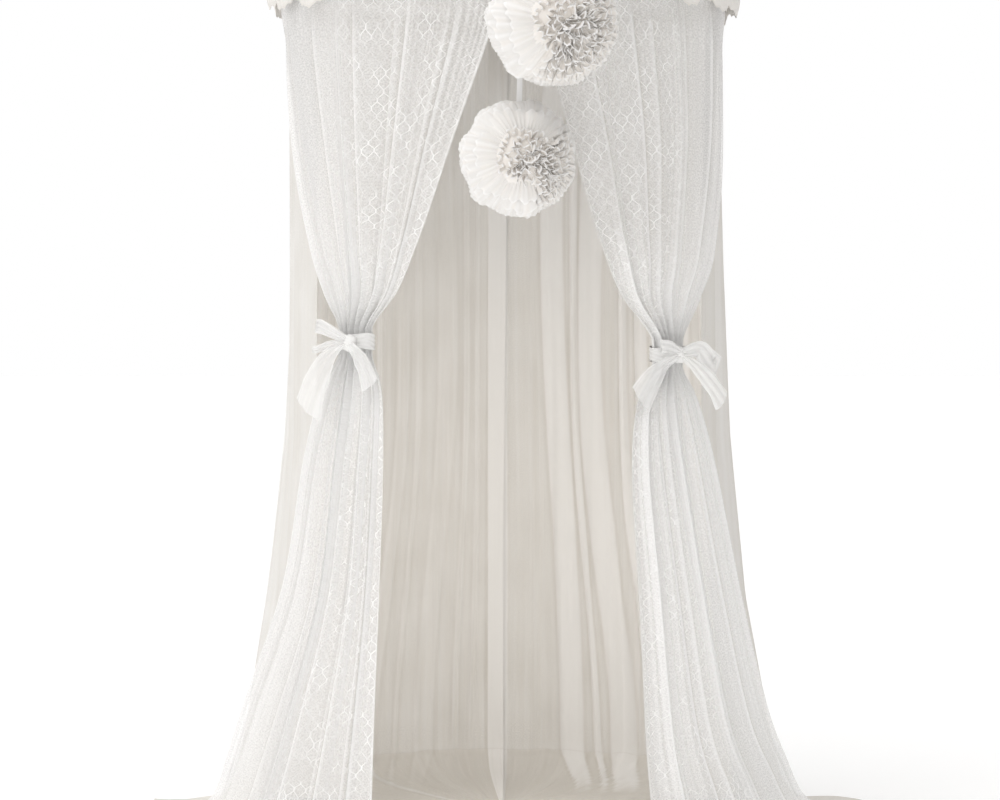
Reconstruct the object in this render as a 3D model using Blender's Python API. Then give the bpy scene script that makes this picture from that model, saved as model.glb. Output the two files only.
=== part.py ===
"""Tulle bed canopy on a round hoop, modelled as it hangs.

A gathered cone of tulle comes down from a hanging ring to a wire hoop. Two plain sheer drops
make the sides and the back, two lace panels are parted in front and tied back with sashes,
a frill hides the hoop, and two pompoms hang on ribbons before the opening.
"""
import math
from collections import namedtuple

import bmesh
import bpy
from mathutils import Matrix, Vector

# Driving dimensions in metres. Heights are above the floor that the cloth trails on.
HANG_HEIGHT = 2.12
HOOP_HEIGHT = 1.63
HOOP_RADIUS = 0.44
HOOP_WIRE = 0.004
CLOTH = 0.0015
SEAM_GAP = 0.0004
WRAP_GAP = 0.0021

# Hanging ring and its tape
RING_RADIUS = 0.016
RING_WIRE = 0.0025
TAPE_WIDTH = 0.012
TAPE_RISE = 0.0012
TAPE_BOTTOM = 2.02

# Top cover
NECK_RADIUS = 0.0088
NECK_TOP = 2.045
NECK_BOTTOM = 2.015
COVER_FOLDS = 12
COVER_FOLD_DEPTH = 0.009
COVER_SKIRT = 0.018

# Frill
FRILL_SCALLOPS = 21
FRILL_WAVE = 0.0045
FRILL_SCALLOP_DEPTH = 0.010
FrillRow = namedtuple("FrillRow", "out height wave scallop")
FRILL_ROWS = [
    FrillRow(0.0000, 1.6275, 0.0, 0.0),
    FrillRow(0.0095, 1.6400, 0.5, 0.0),
    FrillRow(0.0115, 1.5960, 1.0, 1.0),
]

# Sheer drops: angles run from the front, positive to the right
SHEER_LEFT_SPAN = (-58.0, -181.2)
SHEER_RIGHT_SPAN = (67.0, 184.2)
SHEER_FOLDS = 13
SHEER_FOLD_DEPTH = 0.006
LAP_OFFSET = 0.009
LAP_LIFT = 0.011
SIDE_TRAIL = 0.155
BACK_TRAIL = 0.270
TURN_IN_ANGLES = (104.0, 135.0)
SEWN_OFFSET = 0.0022

# Lace panels
LACE_FOLDS = 8

# Sashes
TIE_CLOTH = 0.0012
BAND_SIDES = 28
BAND_HALF_WIDE = 0.0460
BAND_HALF_DEEP = 0.0275
KNOT_OUT = 0.0392
GATHER_RADIUS = 0.412
BAND_HEIGHT = 0.036

# Pompoms and their ribbons
RIBBON_WIDTH = 0.010
LOCKS_A_SIDE = 5

SheerRow = namedtuple("SheerRow", "height trail tilt fold")
SHEER_ROWS = [
    SheerRow(1.6255, 0.00, 0, 0.02),
    SheerRow(1.600, 0.00, 0, 0.30),
    SheerRow(1.540, 0.00, 0, 0.80),
    SheerRow(1.380, 0.00, 0, 1.00),
    SheerRow(1.090, 0.00, 0, 1.05),
    SheerRow(0.760, 0.00, 0, 1.10),
    SheerRow(0.430, 0.00, 0, 1.20),
    SheerRow(0.120, 0.00, 6, 1.30),
    SheerRow(0.034, 0.08, 45, 1.10),
    SheerRow(0.006, 0.36, 86, 0.75),
    SheerRow(0.003, 1.00, 90, 1.00),
]

SheerRadius = namedtuple("SheerRadius", "height front left right back")
SHEER_RADII = [
    SheerRadius(1.6255, 0.4398, 0.4400, 0.4400, 0.4400),
    SheerRadius(1.600, 0.4330, 0.436, 0.438, 0.438),
    SheerRadius(1.540, 0.424, 0.424, 0.431, 0.431),
    SheerRadius(1.380, 0.418, 0.422, 0.434, 0.432),
    SheerRadius(1.090, 0.418, 0.426, 0.447, 0.434),
    SheerRadius(0.760, 0.420, 0.446, 0.467, 0.437),
    SheerRadius(0.430, 0.442, 0.484, 0.500, 0.441),
    SheerRadius(0.120, 0.482, 0.534, 0.560, 0.446),
    SheerRadius(0.003, 0.500, 0.552, 0.588, 0.450),
]

LaceRow = namedtuple("LaceRow", "height inner outer radius depth rounding trail tilt")
LACE_LEFT = [
    LaceRow(1.6255, 0.8, 88.0, 0.4423, 0.0002, 0, 0.00, 0),
    LaceRow(1.600, 1.2, 87.5, 0.4400, 0.0025, 0, 0.00, 0),
    LaceRow(1.520, 3.2, 86.0, 0.4370, 0.0045, 0, 0.00, 0),
    LaceRow(1.340, 11.6, 74.0, 0.4370, 0.0060, 0, 0.00, 0),
    LaceRow(1.140, 21.0, 60.0, 0.4370, 0.0095, 0.2, 0.00, 0),
    LaceRow(1.040, 27.8, 53.2, 0.4270, 0.0160, 0.6, 0.00, 0),
    LaceRow(0.972, 37.0, 49.0, 0.4120, 0.0250, 1, 0.00, 0),
    LaceRow(0.928, 37.0, 49.0, 0.4120, 0.0250, 1, 0.00, 0),
    LaceRow(0.860, 32.0, 53.6, 0.4280, 0.0170, 0.6, 0.00, 0),
    LaceRow(0.720, 29.2, 56.2, 0.4560, 0.0105, 0.2, 0.00, 0),
    LaceRow(0.470, 27.6, 58.5, 0.4950, 0.0085, 0, 0.00, 0),
    LaceRow(0.230, 26.2, 70.0, 0.5380, 0.0085, 0, 0.00, 0),
    LaceRow(0.110, 25.4, 76.5, 0.5600, 0.0085, 0, 0.00, 8),
    LaceRow(0.040, 25.0, 79.0, 0.5740, 0.0080, 0, 0.10, 45),
    LaceRow(0.020, 24.6, 80.0, 0.5860, 0.0060, 0, 0.40, 86),
    LaceRow(0.016, 24.0, 81.0, 0.5900, 0.0070, 0, 1.00, 90),
]
LACE_RIGHT = [
    LaceRow(1.6255, 6.4, 88.0, 0.4423, 0.0002, 0, 0.00, 0),
    LaceRow(1.600, 6.8, 87.8, 0.4410, 0.0025, 0, 0.00, 0),
    LaceRow(1.520, 9.4, 87.0, 0.4420, 0.0045, 0, 0.00, 0),
    LaceRow(1.330, 16.3, 81.5, 0.4450, 0.0060, 0, 0.00, 0),
    LaceRow(1.130, 24.0, 69.0, 0.4480, 0.0090, 0.2, 0.00, 0),
    LaceRow(1.030, 31.5, 62.0, 0.4300, 0.0160, 0.6, 0.00, 0),
    LaceRow(0.947, 44.0, 56.0, 0.4120, 0.0250, 1, 0.00, 0),
    LaceRow(0.903, 44.0, 56.0, 0.4120, 0.0250, 1, 0.00, 0),
    LaceRow(0.840, 36.0, 59.5, 0.4300, 0.0170, 0.6, 0.00, 0),
    LaceRow(0.710, 31.5, 62.8, 0.4580, 0.0105, 0.2, 0.00, 0),
    LaceRow(0.470, 30.5, 66.8, 0.4970, 0.0085, 0, 0.00, 0),
    LaceRow(0.230, 28.8, 71.0, 0.5440, 0.0085, 0, 0.00, 0),
    LaceRow(0.110, 28.2, 79.0, 0.5720, 0.0085, 0, 0.00, 8),
    LaceRow(0.040, 28.0, 82.0, 0.5920, 0.0080, 0, 0.10, 45),
    LaceRow(0.020, 27.6, 83.0, 0.6040, 0.0060, 0, 0.40, 86),
    LaceRow(0.016, 27.0, 84.0, 0.6080, 0.0070, 0, 1.00, 90),
]
LACE_TRAIL = 0.075

# Sash pieces: offsets from the gather's middle along the hoop, up and outward, with the width there
SashPoint = namedtuple("SashPoint", "along up out width")
TIE_LEFT = dict(
    angle=-43.0, facing=-20.0, height=0.950, knot=(-0.003, 0.002),
    loops=[[SashPoint(-0.006, 0.004, 0.047, 0.016), SashPoint(-0.040, 0.024, 0.050, 0.030),
            SashPoint(-0.060, 0.032, 0.044, 0.034)],
           [SashPoint(-0.008, 0.000, 0.046, 0.012), SashPoint(-0.036, -0.004, 0.050, 0.018),
            SashPoint(-0.056, -0.007, 0.047, 0.020)]],
    tails=[[SashPoint(-0.008, 0.000, 0.046, 0.014), SashPoint(-0.032, -0.030, 0.056, 0.026),
            SashPoint(-0.056, -0.075, 0.062, 0.038), SashPoint(-0.068, -0.135, 0.070, 0.046)],
           [SashPoint(-0.002, -0.002, 0.046, 0.014), SashPoint(0.020, -0.028, 0.056, 0.028),
            SashPoint(0.042, -0.058, 0.062, 0.040), SashPoint(0.056, -0.086, 0.066, 0.044)]])
TIE_RIGHT = dict(
    angle=50.0, facing=24.0, height=0.925, knot=(0.002, 0.000),
    loops=[[SashPoint(0.000, 0.004, 0.047, 0.014), SashPoint(-0.022, 0.014, 0.051, 0.024),
            SashPoint(-0.034, 0.016, 0.048, 0.026)],
           [SashPoint(0.006, 0.002, 0.047, 0.016), SashPoint(0.040, 0.010, 0.050, 0.034),
            SashPoint(0.066, -0.018, 0.052, 0.042)]],
    tails=[[SashPoint(0.000, 0.000, 0.046, 0.014), SashPoint(-0.036, -0.018, 0.056, 0.024),
            SashPoint(-0.070, -0.048, 0.064, 0.034), SashPoint(-0.096, -0.086, 0.068, 0.040)],
           [SashPoint(0.006, -0.002, 0.046, 0.014), SashPoint(0.036, -0.026, 0.056, 0.026),
            SashPoint(0.064, -0.060, 0.064, 0.034), SashPoint(0.084, -0.096, 0.070, 0.040)]])

Pompom = namedtuple("Pompom", "centre_x centre_y height radius")
POMPOM_UPPER = Pompom(0.088, -0.592, 1.530, 0.125)
POMPOM_LOWER = Pompom(0.027, -0.524, 1.286, 0.112)
CORE_SHARE = 0.46
ROOT_SHARE = CORE_SHARE * 0.976


def clear_scene():
    for old in list(bpy.data.objects):
        bpy.data.objects.remove(old, do_unlink=True)


def make_material(name, color, roughness, metallic=0.0):
    material = bpy.data.materials.new(name)
    material.use_nodes = True
    shader = material.node_tree.nodes["Principled BSDF"]
    shader.inputs["Base Color"].default_value = (*color, 1.0)
    shader.inputs["Roughness"].default_value = roughness
    shader.inputs["Metallic"].default_value = metallic
    return material


def make_object(name, mesh_builder, material=None, smooth=True):
    mesh = bpy.data.meshes.new(name)
    mesh_builder.normal_update()
    mesh_builder.to_mesh(mesh)
    mesh_builder.free()
    if material:
        mesh.materials.append(material)
    if smooth:
        mesh.shade_smooth()
    item = bpy.data.objects.new(name, mesh)
    bpy.context.collection.objects.link(item)
    return item


def smooth_step(start, end, value):
    t = min(max((value - start) / (end - start), 0.0), 1.0)
    return t * t * (3.0 - 2.0 * t)


def blend_rows(rows, position):
    """Row at a fractional index, each column on a smooth curve through the rows."""
    index = min(int(position), len(rows) - 2)
    t = position - index
    before = rows[max(index - 1, 0)]
    after = rows[min(index + 2, len(rows) - 1)]
    values = []
    for a, b, c, d in zip(before, rows[index], rows[index + 1], after):
        slope_b, slope_c = (c - a) / 2.0, (d - b) / 2.0
        if (b - a) * (c - b) <= 0.0:
            slope_b = 0.0
        if (c - b) * (d - c) <= 0.0:
            slope_c = 0.0
        values.append(b + t * slope_b + t * t * (3 * (c - b) - 2 * slope_b - slope_c)
                      + t ** 3 * (2 * (b - c) + slope_b + slope_c))
    return rows[0]._make(values)


def row_at_height(rows, height):
    """Row at a height, straight between the table's rows."""
    for upper, lower in zip(rows, rows[1:]):
        if height >= lower.height:
            t = min((upper.height - height) / (upper.height - lower.height), 1.0)
            return rows[0]._make(a + (b - a) * t for a, b in zip(upper, lower))
    return rows[-1]


def around(angle, radius, height):
    """Point at an angle in degrees from the front, a radius from the axis and a height."""
    turn = math.radians(angle)
    return Vector((radius * math.sin(turn), -radius * math.cos(turn), height - HANG_HEIGHT))


def level_axes(angle):
    """Directions along the hoop and outward at an angle from the front."""
    turn = math.radians(angle)
    return Vector((math.cos(turn), math.sin(turn), 0)), Vector((math.sin(turn), -math.cos(turn), 0))


def grid_sheet(name, rows, material, thickness=CLOTH, closed=False):
    """Cloth through rows of points, thickened equally to both sides."""
    builder = bmesh.new()
    grid = [[builder.verts.new(point) for point in row] for row in rows]
    columns = len(grid[0])
    last = columns if closed else columns - 1
    for upper, lower in zip(grid, grid[1:]):
        for i in range(last):
            j = (i + 1) % columns
            builder.faces.new((upper[i], upper[j], lower[j], lower[i]))
    sheet = make_object(name, builder, material)
    solidify = sheet.modifiers.new("Cloth thickness", "SOLIDIFY")
    solidify.thickness = thickness
    solidify.offset = 0.0
    return sheet


def ring_solid(name, centre, radius, wire, axis_turn, material, steps, sides):
    """Wire bent to a full circle by spinning its round section."""
    builder = bmesh.new()
    section = bmesh.ops.create_circle(builder, segments=sides, radius=wire,
                                      matrix=Matrix.Translation((radius, 0, 0))
                                      @ Matrix.Rotation(math.pi / 2, 4, "X"))
    edges = list({edge for vert in section["verts"] for edge in vert.link_edges})
    bmesh.ops.spin(builder, geom=section["verts"] + edges, cent=(0, 0, 0), axis=(0, 0, 1),
                   angle=math.tau, steps=steps, use_merge=True, use_duplicate=False)
    bmesh.ops.remove_doubles(builder, verts=builder.verts, dist=1e-6)
    bmesh.ops.recalc_face_normals(builder, faces=builder.faces)
    ring = make_object(name, builder, material)
    ring.location = centre
    ring.rotation_euler = axis_turn
    return ring


def sheer_radius(angle, height):
    """The wall is narrow at its front edges, flares at the sides and hangs straight behind."""
    row = row_at_height(SHEER_RADII, height)
    side = row.right if angle > 0 else row.left
    to_front = smooth_step(99, 84, abs(angle))
    to_back = smooth_step(98, 150, abs(angle))
    return side + (row.front - side) * to_front + (row.back - side) * to_back


def turns_in(angle):
    """How much the hem turns inward on the floor: not at the sides, wholly behind."""
    return smooth_step(*TURN_IN_ANGLES, abs(angle))


def sheer_trail(angle):
    """How far the hem runs on the floor, outward at the sides and inward behind."""
    far = math.exp(-((abs(angle) - 103.0) / 13.0) ** 2)
    return 0.012 + SIDE_TRAIL * far - BACK_TRAIL * turns_in(angle)


def sheer_point(span, u, position):
    """Point of a sheer drop at a fold count u and a fractional table row. At the back's middle
    the left drop hangs inside the right one, and so lies on top of it on the floor."""
    first, last = span
    share = u / SHEER_FOLDS
    wobble = (0.30 * math.sin(1.9 * u) + 0.22 * math.sin(0.83 * u + 1.0)) * math.sin(math.pi * share)
    angle = first + (last - first) * (u + wobble) / SHEER_FOLDS
    row = blend_rows(SHEER_ROWS, position)
    angle += 1.1 * math.sin(1.7 * u + first) * smooth_step(1.6, 0.3, row.height)
    edge = min(smooth_step(0.0, 1.5, u), smooth_step(SHEER_FOLDS, SHEER_FOLDS - 1.5, u))
    depth = SHEER_FOLD_DEPTH * (0.8 + 0.3 * math.sin(2.3 * u + 1.1)) * (0.2 + 0.8 * edge)
    wave = depth * row.fold * math.cos(math.tau * u)
    tilt = math.radians(row.tilt)
    lap = smooth_step(167.0, 177.0, abs(angle))
    inward = 0.0
    over = 0.0
    if span is SHEER_LEFT_SPAN:
        inward = lap * (SEWN_OFFSET + LAP_OFFSET * min(row.fold, 1.0)) * math.cos(tilt)
        over = lap * LAP_LIFT
    radius = sheer_radius(angle, row.height) - inward + row.trail * sheer_trail(angle)
    swell = wave * (1.0 - 2.0 * turns_in(angle))
    lift = (swell + depth * row.fold + CLOTH / 2 + over) * math.sin(tilt)
    return around(angle, radius + wave * math.cos(tilt), row.height + lift)


def make_sheer(name, span, material):
    columns = [i / 4 for i in range(4 * SHEER_FOLDS + 1)]
    rows = [[sheer_point(span, u, position) for u in columns] for position in range(len(SHEER_ROWS))]
    return grid_sheet(name, rows, material)


def lace_point(table, side, u, position):
    """Point of a lace panel; u counts folds from the panel's inner edge."""
    row = blend_rows(table, position)
    share = u / LACE_FOLDS
    wobble = (0.28 * math.sin(2.1 * u + 0.4) + 0.2 * math.sin(0.9 * u)) * math.sin(math.pi * share)
    spread = (u + wobble * (1.0 - row.rounding)) / LACE_FOLDS
    angle = side * (row.inner + (row.outer - row.inner) * spread)
    across = 2.0 * share - 1.0
    round_off = 1.0 - row.rounding * (1.0 - math.sqrt(max(1.0 - 0.93 * across * across, 0.0)))
    depth = row.depth * round_off * (1.0 + 0.25 * math.sin(2.7 * u) * (1.0 - row.rounding))
    wave = depth * math.cos(math.tau * u)
    tilt = math.radians(row.tilt)
    radius = row.radius + row.trail * LACE_TRAIL + wave * math.cos(tilt)
    lift = (wave + depth + CLOTH / 2) * math.sin(tilt)
    return around(angle, radius, row.height + lift)


def make_lace(name, table, side, material):
    columns = [i / 4 for i in range(4 * LACE_FOLDS + 1)]
    rows = [[lace_point(table, side, u, position) for u in columns] for position in range(len(table))]
    return grid_sheet(name, rows, material)


def cover_profile():
    """Radius and height of the cover, from the neck, down the cone, over the hoop to the skirt."""
    wrap = HOOP_WIRE + WRAP_GAP + CLOTH / 2
    points = [(NECK_RADIUS, NECK_TOP), (NECK_RADIUS, NECK_BOTTOM), (0.045, 1.950), (0.150, 1.842),
              (0.310, 1.720)]
    for degrees in (60, 25, 0):
        turn = math.radians(degrees)
        points.append((HOOP_RADIUS + wrap * math.cos(turn), HOOP_HEIGHT + wrap * math.sin(turn)))
    points.append((HOOP_RADIUS + wrap, HOOP_HEIGHT - COVER_SKIRT))
    return points


def make_cover(material):
    """Gathered cone: its folds start at the neck and die out at the hoop."""
    rows = []
    for radius, height in cover_profile():
        swell = smooth_step(0.02, 0.20, radius) * smooth_step(HOOP_RADIUS - 0.005, 0.33, radius)
        row = []
        for i in range(4 * COVER_FOLDS):
            u = i / 4
            wobble = 0.25 * math.sin(1.4 * u) * math.sin(math.pi * u / COVER_FOLDS)
            angle = 360.0 * (u + wobble) / COVER_FOLDS
            depth = COVER_FOLD_DEPTH * swell * (0.8 + 0.3 * math.sin(2.1 * u))
            row.append(around(angle, radius, height + depth * math.cos(math.tau * u)))
        rows.append(row)
    return grid_sheet("top_cover", rows, material, closed=True)


def make_frill(material):
    """Puffed ruffle: sewn at its head, swelling over the hoop, with a scalloped lower edge."""
    head = HOOP_RADIUS + HOOP_WIRE + WRAP_GAP + SEAM_GAP + CLOTH * 1.5
    rows = []
    for part in FRILL_ROWS:
        row = []
        for i in range(4 * FRILL_SCALLOPS):
            u = i / 4
            wobble = 0.2 * math.sin(1.3 * u) * math.sin(math.pi * u / FRILL_SCALLOPS)
            angle = 360.0 * (u + wobble) / FRILL_SCALLOPS
            swing = math.cos(math.tau * u)
            drop = FRILL_SCALLOP_DEPTH * part.scallop * (0.75 + 0.25 * math.sin(2.2 * u)) * swing
            row.append(around(angle, head + part.out + FRILL_WAVE * part.wave * swing, part.height - drop))
        rows.append(row)
    return grid_sheet("frill", rows, material, closed=True)


def strip_rows(path, frame):
    """Left, middle and right points across a strip of changing width, its middle arched outward."""
    middle, along_axis, out_axis = frame
    points = [middle + along_axis * p.along + out_axis * p.out + Vector((0, 0, p.up)) for p in path]
    rows = []
    for i, (point, step) in enumerate(zip(points, path)):
        direction = points[min(i + 1, len(points) - 1)] - points[max(i - 1, 0)]
        across = direction.cross(out_axis).normalized() * (step.width / 2)
        rows.append([point - across, point + out_axis * 0.004, point + across])
    return rows


def sash_loop(path, frame):
    """Strip that runs out along the path and back behind it to the knot."""
    back = [p._replace(out=p.out - 0.010, width=p.width * 0.9) for p in reversed(path[:-1])]
    turn = path[-1]._replace(along=path[-1].along + (path[-1].along - path[-2].along) * 0.25,
                             out=path[-1].out - 0.005)
    return strip_rows(path + [turn] + back, frame)


def make_tie(name, shape, material):
    """One sash: a band round the gather, a knot before it, two loops and two free tails."""
    middle = around(shape["angle"], GATHER_RADIUS, shape["height"])
    along_gather, out_gather = level_axes(shape["angle"])
    frame = (middle, *level_axes(shape["facing"]))
    band_rows = []
    for up in (BAND_HEIGHT / 2, -BAND_HEIGHT / 2):
        band_rows.append([middle + along_gather * (BAND_HALF_WIDE * math.cos(math.tau * i / BAND_SIDES))
                          + out_gather * (BAND_HALF_DEEP * math.sin(math.tau * i / BAND_SIDES))
                          + Vector((0, 0, up)) for i in range(BAND_SIDES)])
    pieces = [grid_sheet(name + "_band", band_rows, None, TIE_CLOTH, closed=True)]
    for i, path in enumerate(shape["loops"]):
        pieces.append(grid_sheet(f"{name}_loop_{i}", sash_loop(path, frame), None, TIE_CLOTH))
    for i, path in enumerate(shape["tails"]):
        pieces.append(grid_sheet(f"{name}_tail_{i}", strip_rows(path, frame), None, TIE_CLOTH))

    builder = bmesh.new()
    bmesh.ops.create_icosphere(builder, subdivisions=2, radius=1.0)
    along, up = shape["knot"]
    for vert in builder.verts:
        x, y, z = vert.co
        vert.co = (middle + frame[1] * (along + 0.015 * x) + frame[2] * (KNOT_OUT + 0.0115 * y)
                   + Vector((0, 0, up + 0.017 * z)))
    if frame[1].cross(frame[2]).z < 0:
        bmesh.ops.reverse_faces(builder, faces=builder.faces)
    knot = make_object(name, builder, material)
    for piece in pieces:
        piece.hide_render = True
        piece.display_type = "WIRE"
        union = knot.modifiers.new("Join " + piece.name, "BOOLEAN")
        union.operation = "UNION"
        union.object = piece
    return knot


def make_pompom(name, shape, toward, material):
    """Tulle ball of flat ruffled locks, all fused at a small core, with one place left bare
    where the ribbon comes in."""
    builder = bmesh.new()
    cells = []
    for side in range(6):
        axis, sign = side // 2, 1 - 2 * (side % 2)
        for i in range(LOCKS_A_SIDE):
            for j in range(LOCKS_A_SIDE):
                corners = []
                for a, b in ((i, j), (i + 1, j), (i + 1, j + 1), (i, j + 1)):
                    flat = [math.tan(math.pi / 4 * (2 * k / LOCKS_A_SIDE - 1)) for k in (a, b)]
                    corner = [sign, flat[0], flat[1]]
                    corners.append(Vector(corner[-axis:] + corner[:-axis]).normalized())
                cells.append(corners if sign > 0 else corners[::-1])
    grid = {}
    for corners in cells:
        loop = []
        for corner in corners:
            key = tuple(round(value, 5) for value in corner)
            if key not in grid:
                grid[key] = builder.verts.new(corner * shape.radius * CORE_SHARE)
            loop.append(grid[key])
        builder.faces.new(loop)
    builder.faces.ensure_lookup_table()
    locks = [face for face in builder.faces if face.calc_center_median().normalized().z < 0.999]
    grown = bmesh.ops.extrude_discrete_faces(builder, faces=locks)["faces"]
    for index, face in enumerate(grown):
        centre = face.calc_center_median().normalized()
        length = shape.radius * (0.955 + 0.045 * math.sin(2.39 * index))
        corners = list(face.verts)
        if index % 2:
            corners = corners[1:] + corners[:1]
        for a, b in ((0, 1), (3, 2)):
            ridge = (corners[a].co + corners[b].co).normalized()
            tip = (centre + (ridge - centre) * 0.85).normalized() * length
            corners[a].co = tip
            corners[b].co = tip
    bmesh.ops.remove_doubles(builder, verts=builder.verts, dist=1e-6)
    bmesh.ops.recalc_face_normals(builder, faces=builder.faces)
    ball = make_object(name, builder, material, smooth=False)
    ball.location = (shape.centre_x, shape.centre_y, shape.height - HANG_HEIGHT)
    ball.rotation_euler = toward.to_track_quat("Z", "Y").to_euler()
    return ball


def make_ribbon(name, points, toward, material):
    """Flat ribbon through hand-placed points, square to the way it enters its pompom."""
    sideways = Vector((1, 0, 0))
    half = (sideways - toward * toward.dot(sideways)).normalized() * (RIBBON_WIDTH / 2)
    rows = [[point - half, point + half] for point in points]
    return grid_sheet(name, rows, material, thickness=0.001)


def pompom_centre(shape):
    return Vector((shape.centre_x, shape.centre_y, shape.height - HANG_HEIGHT))


def make_pompoms(tulle, satin):
    lower = pompom_centre(POMPOM_LOWER)
    sewn_on = around(4.6, HOOP_RADIUS, HOOP_HEIGHT - HOOP_WIRE - SEAM_GAP)
    toward = (sewn_on - lower).normalized()
    root = POMPOM_LOWER.radius * ROOT_SHARE + SEAM_GAP
    path = [sewn_on, sewn_on + Vector((-0.001, -0.012, -0.07)), lower + toward * (POMPOM_LOWER.radius * 1.15),
            lower + toward * root]
    make_pompom("pompom_lower", POMPOM_LOWER, toward, tulle)
    make_ribbon("ribbon_lower", path, toward, satin)

    upper = pompom_centre(POMPOM_UPPER)
    sewn_on = around(7.5, HOOP_RADIUS - 0.012, HOOP_HEIGHT + 0.0186)
    over_frill = around(8.5, HOOP_RADIUS + 0.030, HOOP_HEIGHT + 0.026)
    toward = (over_frill - upper).normalized()
    root = POMPOM_UPPER.radius * ROOT_SHARE + SEAM_GAP
    path = [sewn_on, over_frill, upper + toward * root]
    make_pompom("pompom_upper", POMPOM_UPPER, toward, tulle)
    make_ribbon("ribbon_upper", path, toward, satin)


def make_hanger(metal, tape):
    """Ring for the ceiling hook, its inner top at the origin, and the tape loop through it."""
    ring_solid("hanging_ring", (0, 0, -RING_RADIUS + RING_WIRE), RING_RADIUS, RING_WIRE,
               (math.pi / 2, 0, 0), metal, 24, 6)
    top = -2 * RING_RADIUS + 2 * RING_WIRE + TAPE_RISE
    inner = RING_WIRE + SEAM_GAP + CLOTH / 2
    bottom = TAPE_BOTTOM - HANG_HEIGHT
    outline = []
    for i in range(9):
        turn = math.pi * i / 8
        outline.append((inner * math.cos(turn), top + inner * math.sin(turn)))
    for i in range(5):
        turn = math.pi + math.pi * i / 4
        outline.append((inner * math.cos(turn), bottom + inner * math.sin(turn)))
    rows = [[Vector((half, y, z)) for y, z in outline] for half in (-TAPE_WIDTH / 2, TAPE_WIDTH / 2)]
    grid_sheet("hanging_loop", rows, tape, closed=True)


def main():
    clear_scene()
    tulle = make_material("Tulle", (0.86, 0.84, 0.80), 0.85)
    lace = make_material("Lace", (0.90, 0.88, 0.84), 0.80)
    satin = make_material("Ribbon", (0.92, 0.91, 0.88), 0.55)
    tape = make_material("Tape", (0.88, 0.86, 0.82), 0.80)
    painted = make_material("Painted wire", (0.88, 0.87, 0.84), 0.45)
    metal = make_material("Plated wire", (0.75, 0.75, 0.76), 0.25, 1.0)

    make_hanger(metal, tape)
    make_cover(tulle)
    ring_solid("hoop", (0, 0, HOOP_HEIGHT - HANG_HEIGHT), HOOP_RADIUS, HOOP_WIRE, (0, 0, 0), painted, 64, 6)
    make_frill(tulle)
    make_sheer("sheer_left", SHEER_LEFT_SPAN, tulle)
    make_sheer("sheer_right", SHEER_RIGHT_SPAN, tulle)
    make_lace("lace_left", LACE_LEFT, -1, lace)
    make_lace("lace_right", LACE_RIGHT, 1, lace)
    make_tie("tie_left", TIE_LEFT, satin)
    make_tie("tie_right", TIE_RIGHT, satin)
    make_pompoms(tulle, satin)


main()
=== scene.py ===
import math
from collections import namedtuple

import bmesh
import bpy
import numpy as np
from mathutils import Matrix, Vector


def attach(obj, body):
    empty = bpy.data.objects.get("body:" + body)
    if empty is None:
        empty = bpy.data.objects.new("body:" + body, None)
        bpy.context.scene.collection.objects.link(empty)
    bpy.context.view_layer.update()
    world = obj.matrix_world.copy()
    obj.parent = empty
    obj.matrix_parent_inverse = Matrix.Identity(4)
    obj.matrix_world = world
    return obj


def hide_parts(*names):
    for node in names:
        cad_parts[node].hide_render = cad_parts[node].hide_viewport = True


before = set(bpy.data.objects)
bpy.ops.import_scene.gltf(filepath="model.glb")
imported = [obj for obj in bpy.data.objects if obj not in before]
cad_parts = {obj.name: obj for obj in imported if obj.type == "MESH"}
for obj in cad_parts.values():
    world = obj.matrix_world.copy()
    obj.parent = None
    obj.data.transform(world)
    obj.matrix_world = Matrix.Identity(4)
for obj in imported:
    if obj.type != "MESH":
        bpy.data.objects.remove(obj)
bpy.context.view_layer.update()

# Studio.
# The canopy hangs before a white wall over a white floor. A large soft light stands in front to
# the left, a wide soft one above keeps the floor pale and a faint warm one lights the inside.
HANG_HEIGHT = 2.12
FLOOR = -HANG_HEIGHT
EYE_HEIGHT = 1.01
EYE_DISTANCE = 6.0
FOCAL_PIXELS = 3000.0
PICTURE_WIDTH = 1000.0
SENSOR_WIDTH = 36.0
WHITE = (1.0, 1.0, 1.0, 1.0)


def add_object(name, data):
    thing = bpy.data.objects.new(name, data)
    bpy.context.scene.collection.objects.link(thing)
    return thing


def mesh_from(builder, name):
    mesh = bpy.data.meshes.new(name)
    builder.to_mesh(mesh)
    builder.free()
    return mesh


def add_light(name, kind, energy, place, aim, **settings):
    data = bpy.data.lights.new(name, kind)
    data.energy = energy
    for key, value in settings.items():
        setattr(data, key, value)
    light = add_object(name, data)
    light.location = place
    light.rotation_euler = (Vector(aim) - Vector(place)).to_track_quat("-Z", "Y").to_euler()
    return light


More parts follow.
